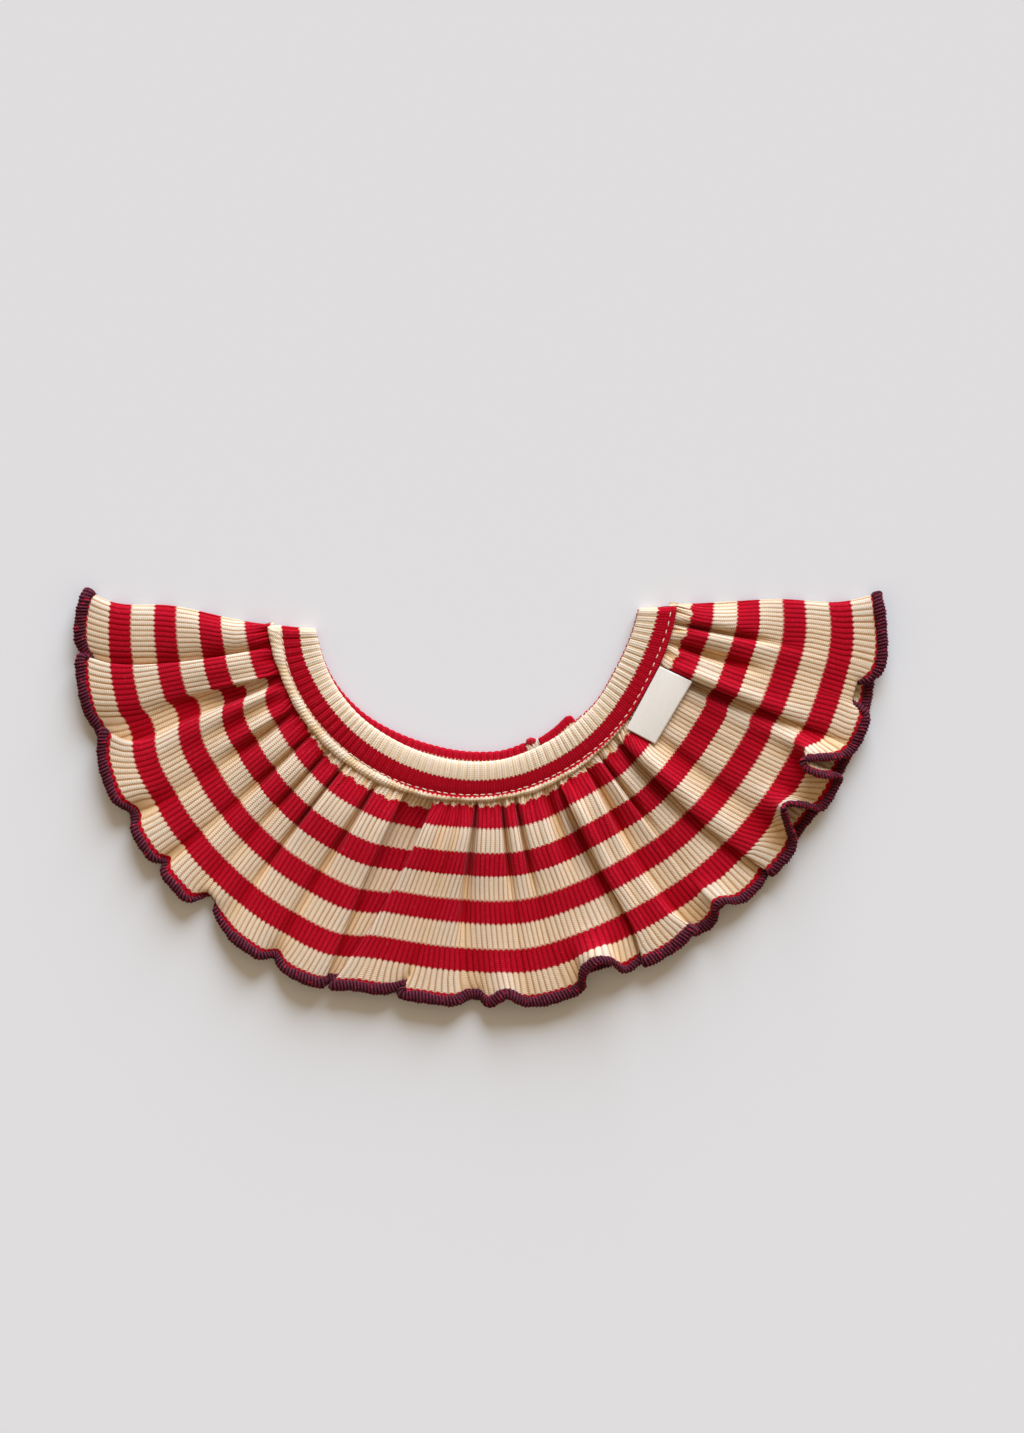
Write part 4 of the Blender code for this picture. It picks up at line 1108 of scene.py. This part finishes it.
# %% The band's surface
def band_rings(ends, leans, neck, stitch, lip, shape, mm_round):
    """Rings of the band between two angles. leans: how the ends slant from the neck to the lip."""
    first, last = ends
    count = int(math.radians(last - first) * mm_round / BAND_COLUMN) + 1
    base = np.linspace(first, last, count)[:, None]
    share, height = shape[:, 0][None, :], shape[:, 1][None, :]
    fade_in = np.clip(1 - (base - first) / LEAN_REACH, 0, None) ** 2
    fade_out = np.clip(1 - (last - base) / LEAN_REACH, 0, None) ** 2
    angle = base + share * (leans[0] * fade_in + leans[1] * fade_out)
    inner, outer, groove = neck(angle), lip(angle), stitch(angle)
    radius = np.where(share < STITCH_SHARE, inner + share / STITCH_SHARE * (groove - inner),
                      groove + (share - STITCH_SHARE) / (1 - STITCH_SHARE) * (outer - groove))
    along = np.radians(base) * mm_round + 0 * share
    return angle, radius, height + 0 * angle, along


def round_ends(height, along, lows, highs, reach):
    """Bring the band's two ends down in a quarter round, so that they end as folds do."""
    edge_distance = np.minimum(along - along[0], along[-1] - along)
    fall = 1 - np.sqrt(np.clip(1 - (1 - np.clip(edge_distance / reach, 0, 1)) ** 2, 0, 1))
    middle = (lows + highs) / 2
    return height + (middle - height) * fall * END_FALL


def pucker_wave(along):
    """0 in the crease between two puckers and 1 on top of one."""
    wobble = along + 0.5 * np.sin(along / 5.3) + 0.3 * np.sin(along / 2.1)
    return np.abs(np.sin(np.pi * wobble / PUCKER))


def pucker_amount(angle, radius_map):
    """How strong the puckers are: across the cream and, at the left, across the red too."""
    in_red = np.clip(radius_map - CREAM_WIDTH + 0.5, 0, 1)
    return (1 - in_red) * by_angle(PUCKERED, angle) + in_red * by_angle(RED_PUCKERED, angle)


def on_stripes(radius_map):
    """1 on the band's two stripes, less at the neck fold and 0 on the lip."""
    return np.clip(np.minimum(radius_map + 0.8, CREAM_WIDTH + RED_WIDTH - radius_map) / 1.2, 0, 1)


def band_relief(angle, radius_map, along, upper):
    """Puckers, fine ribs, and slanting turns on the lip."""
    ends, amount = on_stripes(radius_map), pucker_amount(angle, radius_map)
    swell = 0.75 + 0.25 * np.sin(along / 7.7)
    puckers = PUCKER_HEIGHT * swell * (pucker_wave(along) ** PUCKER_ROUND - PUCKER_MEAN)
    wales = WALE_HEIGHT * (np.abs(np.sin(np.pi * along / WALE)) - 0.6)
    lip = np.clip(radius_map - CREAM_WIDTH - RED_WIDTH, 0, 1)
    slanted = along / LIP_TURN + 0.3 * np.sin(along / 2.3) + radius_map * 0.25
    turns = LIP_HEIGHT * (np.abs(np.sin(np.pi * slanted)) - 0.5)
    turns = turns + 0.16 * np.sin(along / 3.1) + 0.12 * np.sin(along / 1.3)
    return (ends * (amount * puckers + wales) + lip * turns) * upper


def back_relief(angle, radius_map, along, upper):
    """Ribs with narrow grooves, which make the back's edge a row of small bumps, and fine ribs."""
    ribs = BACK_BUMP_HEIGHT * (np.abs(np.sin(np.pi * along / BACK_BUMP)) ** 0.5 - 0.6)
    wales = 0.5 * WALE_HEIGHT * np.abs(np.sin(np.pi * along / WALE))
    return (ribs + wales) * upper


def finish_band(name, angle, radius, height, along, colours, upper, raised):
    """Raise the relief, paint shade into its low parts, map the cloth and roll the grid up."""
    flat_rings = on_fan(angle, radius, height)
    rings = flat_rings + facing(flat_rings) * raised(angle, colours, along, upper)[:, :, None]
    rings[:, -1] = rings[:, 0]
    ring_map = np.stack([along / WALE, colours + MAP_START], axis=-1)
    # Painted shade: low parts of the relief, the cream more and more towards the red stripe, and
    # the creases between puckers take the yarn's shaded colours.
    lowered = raised(angle, colours, along, np.ones_like(height))
    to_red = np.clip(colours / CREAM_WIDTH, 0.0, 1.0)
    deep = np.clip(0.10 - lowered * 2.5 + 0.35 * to_red, 0.0, 1.0)
    crease = np.clip(1.2 - pucker_wave(along) / CREASE_WIDTH, 0.0, 1.0) * on_stripes(colours)
    deep = deep + CREASE_SHADE * crease * np.minimum(pucker_amount(angle, colours), 1.0)
    piece = joined_tube(name, rings, ring_map, band_finish, deep)
    print(name, triangles(piece), "triangles")
    return piece


# %% Make the front of the neckband
def front_colours(angle, radius):
    """Millimetres of the band's own stripes at a place on its front."""
    neck, cream, red = edge("neck", angle), band_line("cream", angle), band_line("red", angle)
    in_cream = CREAM_WIDTH * (radius - neck) / (cream - neck)
    in_red = CREAM_WIDTH + RED_WIDTH * (radius - cream) / (red - cream)
    return np.where(radius < cream, in_cream, in_red)


BAND_CHANGES = (MAP_START + CREAM_WIDTH, MAP_START + CREAM_WIDTH + RED_WIDTH)
HOLE_SPACING, HOLE_OFF = 3.3, 0.15  # ribs from one pinched stitch to the next; off the change
band_finish = rib_finish("neckband_rib", BAND_CHANGES, BAND_MAP_END, BAND_CREAMS_WITH_SHADE, line_share=0.6,
                         teeth=(0.6, 0.6), holes=(HOLE_SPACING, BAND_CHANGES[0] + HOLE_OFF))
angle, radius, height, along = band_rings(
    (LEFT_BAND_END[0], RIGHT_BAND_END[0]),
    (LEFT_BAND_END[1] - LEFT_BAND_END[0], RIGHT_BAND_END[1] - RIGHT_BAND_END[0]),
    lambda angle: edge("neck", angle), lambda angle: band_line("stitch", angle),
    lambda angle: edge("seam", angle), section, FRONT_MIDDLE)
end_drop = np.exp(-np.minimum(along - along[0], along[-1] - along) / END_DROP)
height = np.where(height < UNDERSIDE, height - (height - BAND_BOTTOM) * end_drop, height)
height = round_ends(height, along, BAND_BOTTOM, BAND_TOP, BAND_END_ROUND)
upper = np.clip((height - 3.4) / 1.2, 0.15, 1.0)  # the underside is nearly smooth
band_front = finish_band("band_front_face", angle, radius, height, along,
                         front_colours(angle, radius), upper, band_relief)

# %% [markdown]
# The back of the band lies under the front and shows as a thin red edge along the neck. At the
# centre back the band is open: its red end shows as a small tab, with the other end's turned
# corner, a little knob, beside it.

# %% Make the back of the neckband
# How far the red stripe reaches from the neck edge on the back of the band, by angle.
BACK_RED = ((0.0, 0.2), (20.0, 0.7), (45.0, 2.0), (60.0, 3.6), (106.5, 3.6), (106.9, 0.4),
            (111.2, 0.4), (111.4, 3.4), (126.5, 3.4), (126.9, 0.4), (180.0, 0.3))
TAB_NECK = ((111.0, 63.2), (112.0, 63.0), (116.0, 62.3), (120.0, 61.5), (123.0, 60.7),
            (124.6, 60.5), (125.6, 60.8), (126.2, 61.3), (126.6, 62.2))
TAB_SMOOTH = 0.3  # the tab is flatter than the rest of the back
LEFT_END, TAB_ENDS, RIGHT_END = 110.9, (111.5, 126.5), 126.9  # where the stretches end: angles
SHOULDER_GAP = 0.6  # degrees that the back stays inside the front's ends
BACK_BOTTOM, BACK_TOP, BACK_END_ROUND = 0.2, 2.7, 1.2
BACK_STEPS = 48  # points round the section, after smoothing
# The same for the back of the band.
BACK_SECTION = (
    (0.000, 1.40), (0.006, 1.95), (0.030, 2.40), (0.100, 2.65), (0.500, 2.70), (0.900, 2.60),
    (0.980, 2.20), (1.000, 1.40), (0.980, 0.55), (0.900, 0.22), (0.500, 0.20), (0.100, 0.22),
    (0.030, 0.45), (0.006, 0.85), (0.000, 1.40),
)
back_section = smooth_section(BACK_SECTION, BACK_STEPS)


def back_colours(angle, radius, neck):
    """The back's stripes: red along the neck, then cream, then red again."""
    past_red = radius - neck - by_angle(BACK_RED, angle)
    return CREAM_WIDTH + np.interp(past_red, (-4.0, 0.0, 4.5, 9.0, 16.0),
                                   (4.0, 0.0, -4.5, 0.0, 6.5))


def back_band(name, ends, leans, neck, bumps=1.0):
    """One stretch of the back of the neckband, with bumps as a share of its usual ribs."""
    def lip(angle):
        return edge("seam", angle)

    def stitch(angle):
        return neck(angle) + STITCH_SHARE * (lip(angle) - neck(angle))

    angle, radius, height, along = band_rings(ends, leans, neck, stitch, lip, back_section,
                                              BACK_MIDDLE)
    height = round_ends(height, along, BACK_BOTTOM, BACK_TOP, BACK_END_ROUND)
    off_floor = 0.8 * np.clip((height - 0.4) / 0.9, 0.0, 1.0)  # the underside rests flat
    return finish_band(name, angle, radius, height, along,
                       back_colours(angle, radius, neck(angle)), off_floor,
                       lambda *place: bumps * back_relief(*place))


band_back_left = back_band("band_back_left_face", (LEFT_BAND_END[0] + SHOULDER_GAP, LEFT_END),
                           (LEFT_BAND_END[1] - LEFT_BAND_END[0], 0.0),
                           lambda angle: edge("back_neck", angle))
band_tab = back_band("band_tab_face", TAB_ENDS, (0.0, 0.0),
                     lambda angle: by_angle(TAB_NECK, angle), TAB_SMOOTH)
band_back_right = back_band("band_back_right_face", (RIGHT_END, RIGHT_BAND_END[0] - SHOULDER_GAP),
                            (0.0, RIGHT_BAND_END[1] - RIGHT_BAND_END[0]),
                            lambda angle: edge("back_neck", angle))

# %% Make the knob
KNOB_ANGLE, KNOB_DISTANCE, KNOB_HEIGHT = 108.7, 63.1, 2.6
KNOB_SIZE = (2.1, 1.5, 1.3)
knob_place = on_fan(KNOB_ANGLE, KNOB_DISTANCE, KNOB_HEIGHT)
bpy.ops.object.select_all(action="DESELECT")
bpy.ops.mesh.primitive_uv_sphere_add(segments=32, ring_count=20, radius=MM)
knob = bpy.context.object
knob.name = "band_end_knob"
for vertex in knob.data.vertices:
    x, y, z = vertex.co / MM
    bumps = 1.0 + 0.07 * math.sin(9 * x) + 0.06 * math.cos(7 * y + 4 * z)
    turn = math.radians(KNOB_ANGLE - 90.0)
    x, y, z = x * KNOB_SIZE[0] * bumps, y * KNOB_SIZE[1] * bumps, z * KNOB_SIZE[2] * bumps
    vertex.co = Vector((knob_place[0] + x * math.cos(turn) - y * math.sin(turn),
                        knob_place[1] + x * math.sin(turn) + y * math.cos(turn),
                        knob_place[2] + z)) * MM
knob.data.shade_smooth()
print("knob at", knob_place.round(1), "mm")

# %% [markdown]
# ## Topstitching
#
# One row of cream stitches holds the lip down. A machine stitch is a short straight piece of
# thread, sunk at both ends where it goes through the cloth. One stitch is modelled, and the rest
# are copies set in a row, a little uneven, as on a stretchy cloth. They are joined into one piece
# at the end.

# %% Plain thread finish
def plain_finish(name, color, shade, roughness, sheen, grain):
    """One colour with a fine grain, for threads and tape."""
    material, tree, shader, _, _, place = new_finish(name, roughness, sheen)
    speck = noise(place, grain)
    finish_with(shader, blend_colors(tree, speck, shade, color), speck, 0.0001)
    return material


stitch_finish = plain_finish("cream_sewing_thread", (0.90, 0.74, 0.60, 1.0),
                             (0.62, 0.42, 0.30, 1.0), roughness=0.7, sheen=0.1, grain=3000.0)
red_finish = plain_finish("red_yarn", (0.50, 0.012, 0.03, 1.0), (0.25, 0.003, 0.01, 1.0),
                          roughness=0.9, sheen=0.3, grain=1600.0)
knob.data.materials.append(red_finish)
print("made", stitch_finish.name, "and", red_finish.name)

# %% Make the topstitching
STITCH_LENGTH, STITCH_THICKNESS = 2.1, 0.44
# Millimetres from stitch to stitch, by angle: the cloth is stretched towards the right shoulder.
STITCH_STEPS = ((0.0, 3.0), (100.0, 2.95), (125.0, 2.8), (135.0, 3.0), (145.0, 3.35),
                (155.0, 3.5))
STITCH_HEIGHT = 5.42
FIRST_STITCH, LAST_GAP = 1.5, 4.5  # from the ends of the stitched line, in millimetres
ROW_STARTS, ROW_ENDS = 1.5, 0.6  # degrees that the line runs on past the band's ends
# How far the stitches sink into the cloth, by angle.
SUNK = ((0.0, 0.0), (22.0, 0.0), (26.0, 0.32), (44.0, 0.32), (54.0, 0.0), (180.0, 0.0))

bpy.ops.object.select_all(action="DESELECT")
bpy.ops.mesh.primitive_uv_sphere_add(segments=8, ring_count=6, radius=0.5)
first_stitch = bpy.context.object
shape_points = np.empty(len(first_stitch.data.vertices) * 3)
first_stitch.data.vertices.foreach_get("co", shape_points)
shape_points = shape_points.reshape(-1, 3)
stitches = [first_stitch]
fine_angle = np.linspace(LEFT_BAND_END[0] - ROW_STARTS, RIGHT_BAND_END[0] + ROW_ENDS, 4000)
fine_place = on_fan(fine_angle, band_line("stitch", fine_angle), 0.0)
fine_length = length_along(fine_place)
middles = [FIRST_STITCH]
while middles[-1] < fine_length[-1] - LAST_GAP:
    at = np.interp(middles[-1], fine_length, fine_angle)
    middles.append(middles[-1] + float(by_angle(STITCH_STEPS, at)))
for i, middle in enumerate(middles):
    unevenness = 0.18 * math.sin(i * 2.4) + 0.12 * math.sin(i * 5.1)
    at = np.interp(middle + unevenness, fine_length, fine_angle)
    place = on_fan(at, band_line("stitch", at), STITCH_HEIGHT - by_angle(SUNK, at))
    turn = math.radians(at - 90.0) + 0.10 * math.sin(i * 3.7)
    length = STITCH_LENGTH * (1.0 + 0.08 * math.sin(i * 1.9))
    if i:
        stitch = first_stitch.copy()
        stitch.data = first_stitch.data.copy()
        bpy.context.collection.objects.link(stitch)
        stitches.append(stitch)
    x, y, z = shape_points.T
    moved = np.column_stack([
        place[0] + x * length * math.cos(turn) - y * STITCH_THICKNESS * math.sin(turn),
        place[1] + x * length * math.sin(turn) + y * STITCH_THICKNESS * math.cos(turn),
        place[2] + z * STITCH_THICKNESS])
    stitches[i].data.vertices.foreach_set("co", (moved * MM).ravel())
bpy.ops.object.select_all(action="DESELECT")
for stitch in stitches:
    stitch.select_set(True)
bpy.context.view_layer.objects.active = first_stitch
bpy.ops.object.join()
topstitch = bpy.context.object
topstitch.name = "topstitching"
topstitch.data.materials.append(stitch_finish)
topstitch.data.shade_smooth()
print(len(middles), "stitches")

# %% [markdown]
# ## The label
#
# The label is a strip of white tape, woven in a fine twill, folded in two along its outer edge
# and caught under the lip along the other. It's stiffer than the jersey, so it lies nearly flat
# over the gathers. It is left bare.

# %% Make the label
LABEL_CORNERS = ((71.3, 52.6), (84.1, 46.5), (69.3, 21.7), (58.0, 27.7))  # from the lip, clockwise
LABEL_HEIGHTS = ((6.1, 6.3), (8.3, 8.0))  # top and bottom: at the lip, and at the fold
LABEL_LAYER, LABEL_CLOTH = 0.55, 0.32  # from layer to layer; the cloth's own thickness
LABEL_LONG, LABEL_WIDE = 28.0, 13.4
LABEL_COLUMNS, LABEL_ROWS = 57, 26  # points along it, and across one layer
LABEL_BOW = 0.45  # how far its middle rises


def label_finish():
    """White tape: a fine diagonal twill with a few warmer threads."""
    material, tree, shader, long_way, short_way, place = new_finish("white_woven_tape", 0.6, 0.1)
    twill = ridges(long_way * 2.2 + short_way * 2.2)
    share = twill * 0.4 + noise(place, 1500.0) * 0.8
    color = blend_colors(tree, share, (0.62, 0.56, 0.50, 1.0), (0.77, 0.715, 0.655, 1.0))
    finish_with(shader, color, twill + ridges(long_way, 3.0) * 0.5, 0.00006)
    return material


# Across the label and back again: the share of its width, and 0 in the upper layer to 1 in the
# lower one, with six points round the fold between them.
columns = np.linspace(0.0, 1.0, LABEL_COLUMNS)
around = np.concatenate([np.linspace(0.0, 0.97, LABEL_ROWS),
                         [0.985, 0.996, 1.0, 1.0, 0.996, 0.985],
                         np.linspace(0.97, 0.0, LABEL_ROWS)])
layer = np.concatenate([np.zeros(LABEL_ROWS), [0.06, 0.25, 0.42, 0.58, 0.75, 0.94],
                        np.ones(LABEL_ROWS)])
lip_side = np.array(LABEL_CORNERS)[[0, 3]]
fold_side = np.array(LABEL_CORNERS)[[1, 2]]
from_lip = lip_side[0] + (lip_side[1] - lip_side[0]) * columns[:, None]
to_fold = fold_side[0] + (fold_side[1] - fold_side[0]) * columns[:, None]
flat_place = from_lip[:, None, :] + (to_fold - from_lip)[:, None, :] * around[None, :, None]
at_lip = np.interp(columns, (0, 1), LABEL_HEIGHTS[0])[:, None]
at_fold = np.interp(columns, (0, 1), LABEL_HEIGHTS[1])[:, None]
across_bow = np.sin(np.pi * np.clip(around * 0.9, 0, 1))
bow = LABEL_BOW * np.sin(np.pi * columns)[:, None] * across_bow[None, :]
rise = at_lip + (at_fold - at_lip) * (1 - (1 - around[None, :]) ** 1.6) + bow
heights = rise - LABEL_LAYER * layer[None, :] * np.clip(around * 6.0, 0.15, 1.0)[None, :]
label_points = np.concatenate([flat_place, heights[:, :, None]], axis=2)
label_map = np.stack(np.broadcast_arrays(
    columns[:, None] * LABEL_LONG, (around + 2 * layer)[None, :] * LABEL_WIDE / 2), axis=-1)
label = cloth_sheet("label_woven", label_points, label_map, label_finish(), LABEL_CLOTH, 0.0)
print("label", triangles(label), "triangles")

# %% [markdown]
# ## Loose ends
#
# A few loose threads are always left: a red one lies on the front, and some cream ones stick out
# where the band's ends meet. Each is a thin curve, made into a mesh.

# %% Make the loose ends
def fibre(name, places, thickness, material):
    """A thin thread through places given as angle, distance and height."""
    curve = bpy.data.curves.new(name, "CURVE")
    curve.dimensions = "3D"
    curve.bevel_depth = thickness * MM / 2
    curve.bevel_resolution = 1
    curve.resolution_u = 4
    curve.use_fill_caps = True
    spline = curve.splines.new("BEZIER")
    spline.bezier_points.add(len(places) - 1)
    for point, (angle, distance, height) in zip(spline.bezier_points, places):
        point.co = Vector(on_fan(angle, distance, height)) * MM
        point.handle_left_type = point.handle_right_type = "AUTO"
    thread = bpy.data.objects.new(name, curve)
    bpy.context.collection.objects.link(thread)
    bpy.ops.object.select_all(action="DESELECT")
    thread.select_set(True)
    bpy.context.view_layer.objects.active = thread
    bpy.ops.object.convert(target="MESH")
    thread.data.materials.append(material)
    return thread


FIBRES = (
    # red fibre on the front, then cream ends beside the knob
    ("red", 0.25, ((53.9, 90.0, 7.0), (53.3, 92.0, 7.5), (53.8, 94.2, 6.9), (53.2, 96.4, 6.8))),
    ("cream", 0.30, ((106.6, 64.4, 3.2), (107.2, 65.2, 4.4), (107.0, 66.0, 4.4))),
    ("cream", 0.30, ((107.7, 64.3, 3.4), (107.9, 65.1, 4.6), (108.6, 65.9, 4.4))),
    ("cream", 0.30, ((109.0, 64.2, 3.2), (109.3, 65.1, 4.5), (108.9, 65.9, 4.5))),
    ("cream", 0.26, ((110.9, 65.0, 3.0), (111.1, 63.6, 3.6), (110.9, 62.4, 3.2))),
    ("cream", 0.26, ((111.4, 65.2, 3.0), (111.2, 64.0, 3.9), (111.4, 62.9, 3.0))),
)
yarns = {"red": red_finish, "cream": stitch_finish}
fibres = [fibre("fibre_%d" % number, places, thickness, yarns[yarn])
          for number, (yarn, thickness, places) in enumerate(FIBRES)]
print(len(fibres), "loose threads")

# %% [markdown]
# ## What each piece stands for
#
# Every piece rides on the collar's one body. The soft pieces take the place of the plain solids of
# the frame, which are hidden, and the table lists the finish meant for each. The flat size of each
# stretch of the strip is worked out too: a stretch is taken to be as long as its ribs are side by
# side at the hem, where they stand widest.

# %% Ride, replace and the strips' flat sizes
REPLACED = (
    # the piece, the solid it takes the place of, and its finish
    (front_left, "ruffle_front", "striped_rib"),
    (front_right, "ruffle_front", "striped_rib"),
    (back_strips["left"][0], "ruffle_back_left", "striped_rib"),
    (back_strips["right"][0], "ruffle_back_right", "striped_rib"),
    (band_front, "neckband_front", "band_rib"),
    (band_back_left, "neckband_back_left", "band_rib"),
    (band_back_right, "neckband_back_right", "band_rib"),
    (band_tab, "neckband_tab", "band_rib"),
    (label, "label", "label_tape"),
    (edge_left, "ruffle_front", "edge_thread"),
    (edge_right, "ruffle_front", "edge_thread"),
    (edge_back_left, "ruffle_back_left", "edge_thread"),
    (edge_back_right, "ruffle_back_right", "edge_thread"),
)
for piece, node, slot in REPLACED:
    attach(piece, "root")
    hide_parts(node)
for piece in fibres + [topstitch]:
    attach(piece, "root")
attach(knob, "root")

RIB_AT_HEM = 2.36  # one rib's width at the hem of the finished collar
CUT_DEPTH = 84.0  # the strip from the seam to its edge, with the thread


def cut_strip(ribs):
    """The flat size of a stretch of the strip, in metres."""
    return (ribs * RIB_AT_HEM * MM, CUT_DEPTH * MM)


for piece, ribs, thread in (
        (front_left, split_rib, edge_left),
        (front_right, int(front_numbers[-1]) - split_rib, edge_right),
        (back_strips["left"][0], back_strips["left"][2], edge_back_left),
        (back_strips["right"][0], back_strips["right"][2], edge_back_right)):
    cut_strip(ribs)
    print(piece.name, ribs, "ribs")
